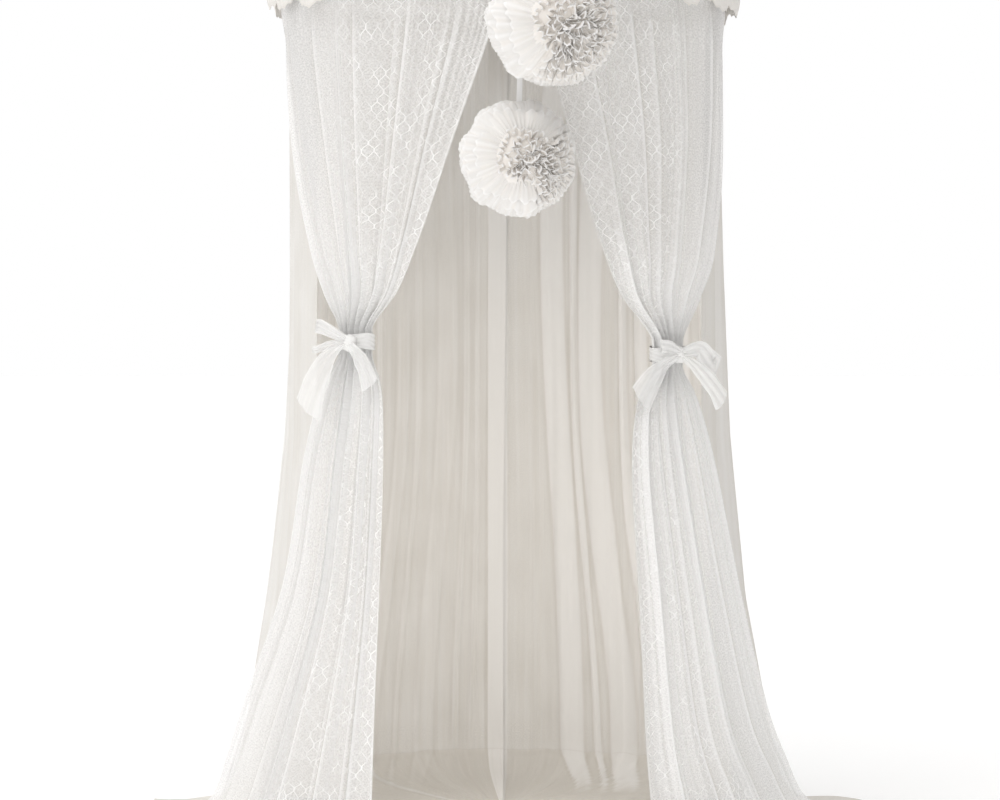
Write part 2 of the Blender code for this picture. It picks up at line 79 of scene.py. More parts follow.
class Nodes:
    """The nodes of one shader tree. Each short call adds a node and gives its output socket."""

    def __init__(self, tree):
        self.tree = tree

    def join(self, socket, value):
        """Sets a node's input, or links it to another node's output."""
        if isinstance(value, bpy.types.NodeSocket):
            self.tree.links.new(value, socket)
        else:
            socket.default_value = value

    def add(self, kind, inputs=None, **settings):
        """Adds any node and gives the node itself."""
        node = self.tree.nodes.new(kind)
        for key, value in settings.items():
            setattr(node, key, value)
        for key, value in (inputs or {}).items():
            self.join(node.inputs[key], value)
        return node

    def calc(self, operation, *values, clamp=False):
        node = self.add("ShaderNodeMath", operation=operation, use_clamp=clamp)
        for socket, value in zip(node.inputs, values):
            self.join(socket, value)
        return node.outputs[0]

    def noise(self, place, scale, detail=0.0):
        inputs = {"Vector": place, "Scale": scale, "Detail": detail}
        return self.add("ShaderNodeTexNoise", inputs).outputs[0]

    def spread(self, value, low, high, first, last):
        """Runs from first to last while the value runs from low to high, and holds at the ends."""
        return self.add("ShaderNodeMapRange",
                        {"Value": value, 1: low, 2: high, 3: first, 4: last}).outputs[0]

    def mix(self, share, first, last):
        return self.add("ShaderNodeMix", {0: share, 6: first, 7: last}, data_type="RGBA").outputs[2]

    def stretch(self, place, scale):
        return self.add("ShaderNodeMapping", {"Vector": place, "Scale": scale}).outputs[0]

    def parts(self, place):
        return self.add("ShaderNodeSeparateXYZ", {0: place}).outputs

    def uv(self, name="cut"):
        return self.add("ShaderNodeUVMap", uv_map=name).outputs["UV"]

    def place(self, kind="Object"):
        return self.add("ShaderNodeTexCoord").outputs[kind]

    def attribute(self, name):
        return self.add("ShaderNodeAttribute", attribute_name=name).outputs["Fac"]

    def bump(self, height, strength, distance):
        inputs = {"Height": height, "Strength": strength, "Distance": distance}
        return self.add("ShaderNodeBump", inputs).outputs[0]

    def finish(self, values):
        """Joins or sets the inputs of the material's own shader."""
        shader = self.tree.nodes["Principled BSDF"]
        for key, value in values.items():
            self.join(shader.inputs[key], value)


def start_material(name):
    material = bpy.data.materials.new(name)
    material.use_nodes = True
    return material, Nodes(material.node_tree)


camera_data = bpy.data.cameras.new("camera")
camera_data.sensor_width = SENSOR_WIDTH
camera_data.lens = SENSOR_WIDTH * FOCAL_PIXELS / PICTURE_WIDTH
camera = add_object("camera", camera_data)
camera.location = (0.0, -EYE_DISTANCE, EYE_HEIGHT - HANG_HEIGHT)
camera.rotation_euler = (math.pi / 2 - math.atan(90 / FOCAL_PIXELS), 0.0, math.atan(3 / FOCAL_PIXELS))
bpy.context.scene.camera = camera

bounce = add_light("bounce", "AREA", 1.3, (0.0, -0.20, -1.55), (0.0, 0.45, -1.60), shape="RECTANGLE",
                   size=0.5, size_y=1.2, color=(1.0, 0.92, 0.82))
bounce.visible_camera = False
add_light("key", "AREA", 30.0, (-3.6, -3.6, 0.2), (0.0, 0.0, -1.1), shape="RECTANGLE", size=2.6,
          size_y=2.6)
add_light("overhead", "SUN", 1.5, (0.0, 0.0, 4.0), (0.4, 0.6, 0.0), angle=math.radians(70))

world = bpy.data.worlds.new("studio")
world.use_nodes = True
world.node_tree.nodes.clear()
sky = Nodes(world.node_tree)
seen = sky.add("ShaderNodeLightPath").outputs["Is Camera Ray"]
wall = sky.add("ShaderNodeBackground", {"Color": WHITE, "Strength": 1.0}).outputs[0]
falls = sky.spread(sky.parts(sky.place("Generated"))["X"], -1.0, 1.0, 0.61, 0.42)
room = sky.add("ShaderNodeBackground", {"Color": (1.0, 0.99, 0.98, 1.0), "Strength": falls}).outputs[0]
both = sky.add("ShaderNodeMixShader", {0: seen, 1: room, 2: wall}).outputs[0]
sky.add("ShaderNodeOutputWorld", {"Surface": both})
bpy.context.scene.world = world
bpy.context.scene.view_settings.view_transform = "Standard"
bpy.context.scene.cycles.transparent_max_bounces = 16
bpy.context.scene.cycles.diffuse_bounces = 3
bpy.context.scene.cycles.max_bounces = 6

builder = bmesh.new()
bmesh.ops.create_grid(builder, x_segments=1, y_segments=1, size=40.0,
                      matrix=Matrix.Translation((0, 0, FLOOR)))
floor = add_object("floor", mesh_from(builder, "floor"))
floor_paint, nodes = start_material("white_floor")
nodes.finish({"Base Color": (0.99, 0.99, 0.99, 1.0), "Roughness": 0.9, "Emission Color": WHITE,
              "Emission Strength": 0.08})
floor.data.materials.append(floor_paint)

# Sheer drops.
# Two lengths of soft ivory tulle, gathered along the top and sewn round the hoop at the sides
# and the back, where one laps over the other. The deep hem lies on the floor, outward at the sides.
SHEER_CUT = (1.30, 1.72)
SHEER_GRID = (440, 104)
SHEER_LEFT_SPAN = (-58.0, -181.2)
SHEER_RIGHT_SPAN = (67.0, 184.2)
SHEER_FOLDS = 13
SHEER_FOLD_DEPTH = 0.006
LAP_OFFSET = 0.009
LAP_LIFT = 0.011
SIDE_TRAIL = 0.155
BACK_TRAIL = 0.385
TURN_IN_ANGLES = (97.0, 117.0)
SEWN_OFFSET = 0.0022
HOOP_RADIUS = 0.44
CLOTH = 0.0015
MERGE_WITHIN = 1e-6

SheerRow = namedtuple("SheerRow", "height trail tilt fold")
SHEER_ROWS = [SheerRow(*row) for row in (
    (1.6255, 0, 0, 0.02),
    (1.6, 0, 0, 0.3),
    (1.54, 0, 0, 0.8),
    (1.38, 0, 0, 1),
    (1.09, 0, 0, 1.05),
    (0.76, 0, 0, 1.1),
    (0.43, 0, 0, 1.2),
    (0.12, 0, 6, 1.3),
    (0.034, 0.08, 45, 1.1),
    (0.006, 0.36, 86, 0.75),
    (0.003, 1, 90, 1),
)]
SheerRadius = namedtuple("SheerRadius", "height front left right back")
SHEER_RADII = [SheerRadius(*row) for row in (
    (1.6255, 0.4398, 0.44, 0.44, 0.44),
    (1.6, 0.433, 0.436, 0.438, 0.438),
    (1.54, 0.424, 0.424, 0.431, 0.431),
    (1.38, 0.418, 0.422, 0.434, 0.432),
    (1.09, 0.418, 0.426, 0.447, 0.434),
    (0.76, 0.42, 0.446, 0.467, 0.437),
    (0.43, 0.442, 0.484, 0.5, 0.441),
    (0.12, 0.482, 0.534, 0.56, 0.446),
    (0.003, 0.5, 0.552, 0.588, 0.45),
)]
# Pleats, listed one by one: the angle at the top and at the floor, the half width in degrees,
# the heights between which each shows, how far it stands in and how much closer the net is
Pleat = namedtuple("Pleat", "top_angle floor_angle width top bottom depth close")
PLEATS = [Pleat(*row) for row in (
    (165.2, 160, 2.6, 1.6, -0.2, 0.005, 2.1),
    (159.6, 152.8, 0.6, 1.5, -0.2, 0.004, 2.1),
    (154, 146, 3, 1.6, -0.2, 0.006, 2.2),
    (144.8, 136, 0.8, 1.55, -0.2, 0.004, 1.9),
    (139, 130, 1.8, 1.5, -0.2, 0.005, 1.2),
    (131.5, 124, 1.2, 1.5, 0.02, 0.005, 0.7),
    (123, 118, 2.4, 1.55, 0.1, 0.005, 0.6),
    (114, 111, 1.3, 1.55, 0.1, 0.004, 0.6),
    (105, 104, 2, 1.5, 0.2, 0.005, 0.6),
    (95, 96, 1.2, 1.55, 0.1, 0.005, 0.6),
    (-172.8, -171, 0.5, 1.5, 0.02, 0.002, 0.3),
    (-169.6, -166.5, 0.6, 1.35, 0.02, 0.002, 0.35),
    (-163.5, -158, 2.2, 1.2, -0.2, 0.003, 0.35),
    (-155.8, -149, 0.5, 1.45, -0.2, 0.002, 0.4),
    (-150.5, -141.5, 1.6, 1.05, -0.2, 0.003, 0.5),
    (-143.4, -134, 0.6, 1.4, -0.2, 0.003, 0.6),
    (-137, -128, 2.2, 1.5, 0.02, 0.004, 0.45),
    (-128.5, -122, 1, 1.45, 0.1, 0.004, 0.5),
    (-119, -115, 2.2, 1.55, 0.2, 0.005, 0.5),
    (-108, -107, 1.2, 1.5, 0.1, 0.004, 0.5),
    (-97, -98, 1.8, 1.55, 0.1, 0.005, 0.5),
)]


def smooth_step(start, end, value):
    t = np.clip((value - start) / (end - start), 0.0, 1.0)
    return t * t * (3.0 - 2.0 * t)


def uneven(value, start):
    """Slow waver between -1 and 1 that never quite repeats."""
    waves = np.sin(value + start) + np.sin(1.61 * value + 2.3 * start) + np.sin(0.53 * value + 4.1 * start)
    return waves / 3


def gathers(along, spacing, start):
    """Uneven little folds along the cloth, between -1 and 1."""
    count = along / spacing
    count = count + 0.35 * uneven(0.8 * count, start)
    return np.cos(math.tau * count) * (0.7 + 0.3 * uneven(0.45 * count, start + 1.0))


def table_at(rows, position):
    """Columns of a table on smooth curves through its rows, at fractional row numbers."""
    table = np.array(rows, float)
    step = np.diff(table, axis=0)
    slope = np.zeros_like(table)
    slope[1:-1] = np.where(step[:-1] * step[1:] > 0, (step[:-1] + step[1:]) / 2, 0.0)
    low = np.clip(position.astype(int), 0, len(table) - 2)
    t = (position - low)[:, None]
    first, last, change = slope[low], slope[low + 1], step[low]
    bend, twist = 3 * change - 2 * first - last, first + last - 2 * change
    values = table[low] + t * first + t**2 * bend + t**3 * twist
    return rows[0]._make(values.T)


def marks_along(points):
    """How far each point of a way lies from its start."""
    return np.concatenate([[0.0], np.cumsum([math.dist(a, b) for a, b in zip(points, points[1:])])])


def row_number(rows, run, share):
    """Fractional row number at a share of the cloth's way down and out on the floor."""
    marks = marks_along([(row.height, row.trail * run) for row in rows])
    return np.interp(share * marks[-1], marks, np.arange(len(rows)))


def around(angle, radius, height):
    """Points at angles in degrees from the front, positive to the right, and heights over the floor."""
    turn = np.radians(angle)
    columns = np.broadcast_arrays(radius * np.sin(turn), -radius * np.cos(turn), height + FLOOR)
    return np.stack(columns, axis=1)


# deep is painted shade: how much a point's colour is darkened, as if in the shade of a fold.
Laid = namedtuple("Laid", "place cut close deep thread", defaults=(0.0, None))


def read_points(mesh, kind="co"):
    values = np.empty(len(mesh.vertices) * 3)
    mesh.vertices.foreach_get(kind, values)
    return values.reshape(-1, 3)


def write_cloth(mesh, cut, close, deep, thread=None):
    """Lays the flat cut on the mesh as UV maps, and as attributes how close the net lies and how much
    painted shade it carries.
    """
    corners = np.empty(len(mesh.loops), int)
    mesh.loops.foreach_get("vertex_index", corners)
    for name, flat in (("cut", cut), ("thread", thread)):
        if flat is not None:
            mesh.uv_layers.new(name=name).data.foreach_set("uv", flat[corners].astype(np.float32).ravel())
    for name, values in (("close", close), ("deep", deep)):
        values = (values + np.zeros(len(mesh.vertices))).astype(np.float32)
        mesh.attributes.new(name, "FLOAT", "POINT").data.foreach_set("value", values)


def merged(mesh):
    builder = bmesh.new()
    builder.from_mesh(mesh)
    bmesh.ops.remove_doubles(builder, verts=builder.verts, dist=MERGE_WITHIN)
    return builder


def hang_cloth(name, grid, shape, material, turned=False, closed=False):
    """Sheet from a flat grid. The shape gives each point's place, its place on the flat cut in metres,
    how much closer the net lies there, how much painted shade it carries deep in a fold, and where raised
    threads are drawn."""
    builder = bmesh.new()
    bmesh.ops.create_grid(builder, x_segments=grid[0], y_segments=grid[1], size=0.5)
    if turned:
        bmesh.ops.reverse_faces(builder, faces=builder.faces)
    mesh = mesh_from(builder, name)
    flat = read_points(mesh)
    laid = Laid(*shape(flat[:, 0] + 0.5, 0.5 - flat[:, 1]))
    place = laid.place
    mesh.vertices.foreach_set("co", place.ravel())
    mesh.update()
    normal = read_points(mesh, "normal")
    outward = place[:, :2] / np.maximum(np.linalg.norm(place[:, :2], axis=1), 1e-6)[:, None]
    on_edge = np.abs(normal[:, 1] * outward[:, 0] - normal[:, 0] * outward[:, 1])
    facing = np.sqrt(np.clip(1.0 - on_edge**2, 0.06, 1.0))
    write_cloth(mesh, laid.cut, 1.0 / facing + laid.close, laid.deep, laid.thread)
    if closed:
        builder = merged(mesh)
        builder.to_mesh(mesh)
        builder.free()
    mesh.materials.append(material)
    mesh.shade_smooth()
    return add_object(name, mesh)


# inner is the colour of the painted shade that the deep attribute lays on in folds; painted_shade_strength
# sets how strongly.
def tulle_material(name, light, dark, cover, length, hem, inner=(0.50, 0.455, 0.40, 1.0), painted_shade_strength=0.36,
                   streaks=0.5):
    """Soft net: fine crinkles run down it, it shows denser where it is gathered and at its hem. Its colour
    carries painted shade in folds and over the hem, and is painted lighter where the net lies closer.
    """
    material, nodes = start_material(name)
    calc = nodes.calc
    cut, close, deep = nodes.uv(), nodes.attribute("close"), nodes.attribute("deep")
    down = nodes.parts(cut)["Y"]
    crinkle = nodes.noise(nodes.stretch(cut, (110.0, 1.8, 1.0)), 1.0, 1.0)
    swing = calc("SUBTRACT", crinkle, 0.5)
    patch = calc("MULTIPLY", nodes.noise(cut, 9.0), 0.4)
    hem_part = calc("GREATER_THAN", down, length - hem)
    stitch = calc("COMPARE", down, length - hem, 0.0016)
    # Tone from the dark ivory to the light one: lighter where the net lies closer, which is denser net and
    # partly painted light, with random patches and crinkles; the hem is made darker, which is painted
    # shade.
    tone = calc("MULTIPLY_ADD", calc("SUBTRACT", close, 1.0), 0.65, patch)
    tone = calc("MULTIPLY_ADD", swing, streaks, tone)
    tone = calc("MULTIPLY_ADD", hem_part, -0.25, tone, clamp=True)
    # Painted shade from the deep attribute, and the thin stitch line over the hem, both darkened towards
    # the inner colour.
    dim = calc("MAXIMUM", calc("MULTIPLY", deep, painted_shade_strength), calc("MULTIPLY", stitch, 0.16),
                     clamp=True)
    nodes.finish({"Base Color": nodes.mix(dim, nodes.mix(tone, dark, light), inner),
                  "Normal": nodes.bump(crinkle, 0.12, 0.002), "Roughness": 0.92,
                  "Specular IOR Level": 0.15, "Sheen Weight": 0.15})
    if cover < 1.0:
        net = nodes.spread(nodes.noise(cut, 520.0), 0.3, 0.7, -0.05, 0.05)
        clear = calc("ADD", 1.0 - cover, net)
        clear = calc("ADD", clear, calc("MULTIPLY", swing, 0.10))
        layers = calc("MULTIPLY_ADD", hem_part, 0.45, close)
        closed_over = calc("POWER", calc("MAXIMUM", clear, 0.02), layers)
        nodes.finish({"Alpha": calc("SUBTRACT", 1.0, closed_over, clamp=True)})
    return material


def radius_column(height, column):
    rows = SHEER_RADII[::-1]
    return np.interp(height, [row.height for row in rows], [getattr(row, column) for row in rows])


def sheer_shape(span):
    """Place of each point of one drop, with its main folds, gathers and listed pleats."""
    first, last = span
    column = "right" if first > 0 else "left"

    def shape(share, way):
        way = way - 0.08 * np.sin(math.tau * way)
        way = np.interp(way, [0.0, 0.80, 1.0], [0.0, 0.925, 1.0])
        row = table_at(SHEER_ROWS, row_number(SHEER_ROWS, 0.10, way))
        height = row.height
        u = share * SHEER_FOLDS
        wobble = (0.30 * np.sin(1.9 * u) + 0.22 * np.sin(0.83 * u + 1.0)) * np.sin(math.pi * share)
        angle = first + (last - first) * (u + wobble) / SHEER_FOLDS
        angle = angle + 1.1 * np.sin(1.7 * u + first) * smooth_step(1.6, 0.3, height)
        edge = np.minimum(smooth_step(0.0, 1.5, u), smooth_step(SHEER_FOLDS, SHEER_FOLDS - 1.5, u))
        depth = SHEER_FOLD_DEPTH * (0.8 + 0.3 * np.sin(2.3 * u + 1.1)) * (0.2 + 0.8 * edge)
        size = np.abs(angle)
        lap = smooth_step(167.0, 177.0, size)
        free = smooth_step(96.0, 108.0, size) * (1.0 - 0.6 * lap)
        drift = 0.012 * uneven(3.0 * height + 0.05 * angle, first)
        along = HOOP_RADIUS * np.radians(angle) + drift
        fall = smooth_step(1.63, 1.30, height)
        wave = depth * row.fold * np.cos(math.tau * u) * (1.0 - 0.3 * free)
        fine = 0.0014 * smooth_step(1.628, 1.60, height) * (1.0 - 0.75 * smooth_step(1.56, 1.20, height))
        wave = wave + fine * gathers(along, 0.0125, first)
        wave = wave + (0.0008 + 0.0012 * free) * fall * gathers(along, 0.052, first + 2.0)
        wave = wave + 0.0004 * fall * gathers(along, 0.021, first + 4.0)
        lap_from = 175.5 if first < 0 else 178.6
        close = 1.5 * smooth_step(lap_from, lap_from + 0.4, size) * fall
        # Painted shade: darker low at the back near the floor, and over the front of the right drop, on the
        # side turned from the key light.
        deep = smooth_step(0.16, 0.02, height) * smooth_step(120.0, 150.0, size) * 0.22
        if first > 0:
            deep = deep + 0.50 * smooth_step(120.0, 100.0, size)
        for pleat in PLEATS:
            if pleat.top_angle * first > 0:
                lean = smooth_step(1.0, 0.05, height) ** 1.6
                middle = pleat.top_angle + (pleat.floor_angle - pleat.top_angle) * lean
                middle = middle - math.copysign(36.0 if abs(pleat.top_angle) > 125 else 0.0,
                                                first) * row.trail
                middle = middle + 0.35 * pleat.width * np.sin(5.0 * height + pleat.top_angle)
                shown = smooth_step(pleat.top + 0.02, pleat.top - 0.12, height) * smooth_step(
                    pleat.bottom - 0.02, pleat.bottom + 0.15, height)
                shown = shown * smooth_step(0.62, 0.08, row.trail)
                off = np.abs(angle - middle) / pleat.width
                band = shown / (1.0 + off**8)
                rim = 0.35 / pleat.width
                # Each pleat's band lies closer, and so does a thin line at its edge, which the tone paints
                # lighter: denser net and partly painted highlight.
                edge_line = shown * np.exp(-((off - 1.0) / (0.12 + rim)) ** 2)
                wave = wave - pleat.depth * band
                close = close + pleat.close * (0.8 * band + 0.8 * edge_line)
                # Beside each pleat's edge a line of painted shade is laid.
                beside = np.exp(-((off - 1.15 - 1.6 * rim) / (0.10 + rim)) ** 2)
                deep = deep + 0.55 * min(pleat.close, 1.0) * shown * beside
        tilt = np.radians(row.tilt)
        side = radius_column(height, column)
        to_front = smooth_step(99, 84, size)
        to_back = smooth_step(98, 150, size)
        radius = side + (radius_column(height, "front") - side) * to_front
        radius = radius + (radius_column(height, "back") - side) * to_back
        over = 0.0
        if first < 0:
            radius = radius - lap * (SEWN_OFFSET + LAP_OFFSET * np.minimum(row.fold, 1.0)) * np.cos(tilt)
            over = lap * LAP_LIFT
        turns_in = smooth_step(TURN_IN_ANGLES[0], TURN_IN_ANGLES[1], size)
        trail = 0.012 + SIDE_TRAIL * np.exp(-((size - 97.0) / 11.0) ** 2) - BACK_TRAIL * turns_in
        radius = radius + row.trail * trail
        swell = wave * (1.0 - 2.0 * turns_in)
        settled = 1.0 - 0.75 * turns_in * smooth_step(0.3, 1.0, row.trail)
        lift = ((swell + (depth + 0.0035) * row.fold) * settled + CLOTH / 2 + over * settled) * np.sin(tilt)
        place = around(angle, radius + wave * np.cos(tilt), height + lift)
        place[:, 2] = np.maximum(place[:, 2], FLOOR + 0.0008)
        cut = np.stack([share * SHEER_CUT[0], way * SHEER_CUT[1]], axis=1)
        return place, cut, close, deep

    return shape


tulle = tulle_material("ivory_tulle", (0.98, 0.975, 0.965, 1.0), (0.775, 0.75, 0.705, 1.0), 0.91,
                       SHEER_CUT[1], 0.150)
for name, span in (("sheer_drop_left", SHEER_LEFT_SPAN), ("sheer_drop_right", SHEER_RIGHT_SPAN)):
    drop = hang_cloth(name, SHEER_GRID, sheer_shape(span), tulle, turned=span[0] > 0)
    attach(drop, "root")
    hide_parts(name.replace("_drop", ""))

# Lace panels.
# Two front lengths of net with a raised geometric thread, sewn over the sheers at the hoop.
# Each is drawn aside, gathered in a sash and let fall again to spread on the floor.
LACE_CUT = (0.66, 1.70)
LACE_GRID = (520, 110)
LACE_FOLDS = 8
LACE_TRAIL = 0.075
LACE_REPEAT = (0.024, 0.031)

LaceRow = namedtuple("LaceRow", "height inner outer radius depth rounding trail tilt")
LACE_LEFT = [LaceRow(*row) for row in (
    (1.6255, 0.8, 88, 0.4423, 0.0002, 0, 0, 0),
    (1.6, 1.2, 87.5, 0.44, 0.0025, 0, 0, 0),
    (1.52, 3.2, 86, 0.437, 0.0045, 0, 0, 0),
    (1.34, 11.6, 74, 0.437, 0.006, 0, 0, 0),
    (1.14, 21, 60, 0.437, 0.0095, 0.2, 0, 0),
    (1.04, 27.8, 53.2, 0.427, 0.016, 0.6, 0, 0),
    (0.972, 37, 49, 0.412, 0.025, 1, 0, 0),
    (0.928, 37, 49, 0.412, 0.025, 1, 0, 0),
    (0.86, 32, 53.6, 0.428, 0.017, 0.6, 0, 0),
    (0.72, 29.2, 56.2, 0.456, 0.0105, 0.2, 0, 0),
    (0.47, 27.6, 58.5, 0.495, 0.0085, 0, 0, 0),
    (0.23, 26.2, 70, 0.538, 0.0085, 0, 0, 0),
    (0.11, 25.4, 76.5, 0.56, 0.0085, 0, 0, 8),
    (0.04, 25, 79, 0.574, 0.008, 0, 0.1, 45),
    (0.02, 24.6, 80, 0.586, 0.006, 0, 0.4, 86),
    (0.016, 24, 81, 0.59, 0.007, 0, 1, 90),
)]
LACE_RIGHT = [LaceRow(*row) for row in (
    (1.6255, 6.4, 88, 0.4423, 0.0002, 0, 0, 0),
    (1.6, 6.8, 87.8, 0.441, 0.0025, 0, 0, 0),
    (1.52, 9.4, 87, 0.442, 0.0045, 0, 0, 0),
    (1.33, 16.3, 81.5, 0.445, 0.006, 0, 0, 0),
    (1.13, 24, 69, 0.448, 0.009, 0.2, 0, 0),
    (1.03, 31.5, 62, 0.43, 0.016, 0.6, 0, 0),
    (0.947, 44, 56, 0.412, 0.025, 1, 0, 0),
    (0.903, 44, 56, 0.412, 0.025, 1, 0, 0),
    (0.84, 36, 59.5, 0.43, 0.017, 0.6, 0, 0),
    (0.71, 31.5, 62.8, 0.458, 0.0105, 0.2, 0, 0),
    (0.47, 30.5, 66.8, 0.497, 0.0085, 0, 0, 0),
    (0.23, 28.8, 71, 0.544, 0.0085, 0, 0, 0),
    (0.11, 28.2, 79, 0.572, 0.0085, 0, 0, 8),
    (0.04, 28, 82, 0.592, 0.008, 0, 0.1, 45),
    (0.02, 27.6, 83, 0.604, 0.006, 0, 0.4, 86),
    (0.016, 27, 84, 0.608, 0.007, 0, 1, 90),
)]


def lace_spread(share, rounding):
    u = share * LACE_FOLDS
    wobble = (0.28 * np.sin(2.1 * u + 0.4) + 0.2 * np.sin(0.9 * u)) * np.sin(math.pi * share)
    return (u + wobble * (1.0 - rounding)) / LACE_FOLDS


# Small flat folds across each panel: the share of the cut where each begins, and how high it stands
LacePleats = namedtuple("LacePleats", "begins rises")
LACE_PLEATS = {
    -1: LacePleats((0, 0.1, 0.128, 0.27, 0.305, 0.42, 0.52, 0.55, 0.69, 0.84, 1),
                  (0.2, 1, 0.5, 1.1, 0.5, 0.9, 1.1, 0.4, 0.5, 0.4, 0)),
    1: LacePleats((0, 0.13, 0.16, 0.32, 0.372, 0.51, 0.6, 0.74, 0.86, 1),
                  (0.2, 1, 0.5, 1.2, 0.6, 1, 0.6, 0.8, 0.4, 0))}


def lace_shape(table, side):
    """Place of each point of a panel; the first points lie along its inner edge."""
    begins, rises = np.array(LACE_PLEATS[side], float)

    def shape(share, way):
        way = way - 0.06 * np.sin(math.tau * way)
        row = table_at(table, row_number(table, LACE_TRAIL, way))
        u = share * LACE_FOLDS
        reach = np.radians(row.outer - row.inner) * row.radius
        angle = side * (row.inner + (row.outer - row.inner) * lace_spread(share, row.rounding))
        across = 2.0 * share - 1.0
        round_off = 1.0 - row.rounding * (1.0 - np.sqrt(np.maximum(1.0 - 0.93 * across * across, 0.0)))
        depth = row.depth * round_off * (1.0 + 0.25 * np.sin(2.7 * u) * (1.0 - row.rounding))
        along = share * LACE_CUT[0]
        fall = smooth_step(1.625, 1.50, row.height) * (1.0 - 0.35 * row.rounding)
        wave = 0.45 * depth * np.cos(math.tau * u)
        number = np.clip(np.searchsorted(begins, share + 1e-9, side="right") - 1, 0, len(begins) - 2)
        start, end = begins[number], begins[number + 1]
        part = (share - start) / (end - start)
        near = (1.0 - part) * (end - start) / 0.006
        beside = part * (end - start) / 0.006
        narrow = 1.0 - reach / 0.76
        inside = np.where(number + 1 < len(begins) - 1, 1.0, 0.0)
        rise = (0.0055 + 0.0060 * narrow) * rises[number + 1] * inside
        wave = wave + fall * rise * (part**1.6 * np.clip(near, 0.0, 1.0) - 0.4)
        wave = wave + 0.0052 * fall * narrow * gathers(along, 0.036, side + 3.0)
        wave = wave + (0.0004 + 0.0016 * narrow) * fall * gathers(along, 0.018, side + 5.0)
        drawn_in = 0.009 * smooth_step(0.70, 1.0, share) * smooth_step(1.62, 1.52, row.height)
        wave = wave - drawn_in * smooth_step(0.95, 1.15, row.height)
        fine = 0.0012 * smooth_step(1.628, 1.60, row.height) * smooth_step(1.25, 1.58, row.height)
        wave = wave + fine * gathers(along, 0.0105, side)
        # The ridge of each small fold is drawn closer, which the lace paints lighter: denser net and partly
        # painted highlight. Just past it painted shade is laid as deep, with a wider faint band of it on
        # some folds.
        ridge = fall * np.exp(-((near - 1.3) / 1.0) ** 2) * rises[number + 1]
        bands = 0.5 + 0.5 * np.sin(7.3 * number + 1.7 * side)
        wide = 0.3 * bands * np.exp(-(beside / 9.0) ** 2)
        deep = fall * (0.8 * np.exp(-(beside / 1.5) ** 2) * rises[number] + wide)
        tilt = np.radians(row.tilt)
        radius = row.radius + row.trail * LACE_TRAIL + wave * np.cos(tilt)
        lift = (wave + depth + 0.003 + CLOTH / 2) * np.sin(tilt)
        cut = np.stack([along, way * LACE_CUT[1]], axis=1)
        first = lace_spread(start, row.rounding)
        shown = reach * (lace_spread(share, row.rounding) - first)
        drawn_down = way * LACE_CUT[1] + 0.011 * number
        thread = np.stack([0.0371 * number + shown + 0.0004 * along, drawn_down], axis=1)
        return around(angle, radius, row.height + lift), cut, 1.3 * ridge, np.minimum(deep, 1.0), thread

    return shape


def thread_line(nodes, number, width):
    """Thin lines where a number passes each whole number."""
    away = nodes.calc("SUBTRACT", nodes.calc("FRACT", nodes.calc("ADD", number, 0.5)), 0.5)
    return nodes.spread(nodes.calc("ABSOLUTE", away), width * 0.5, width, 1.0, 0.0)


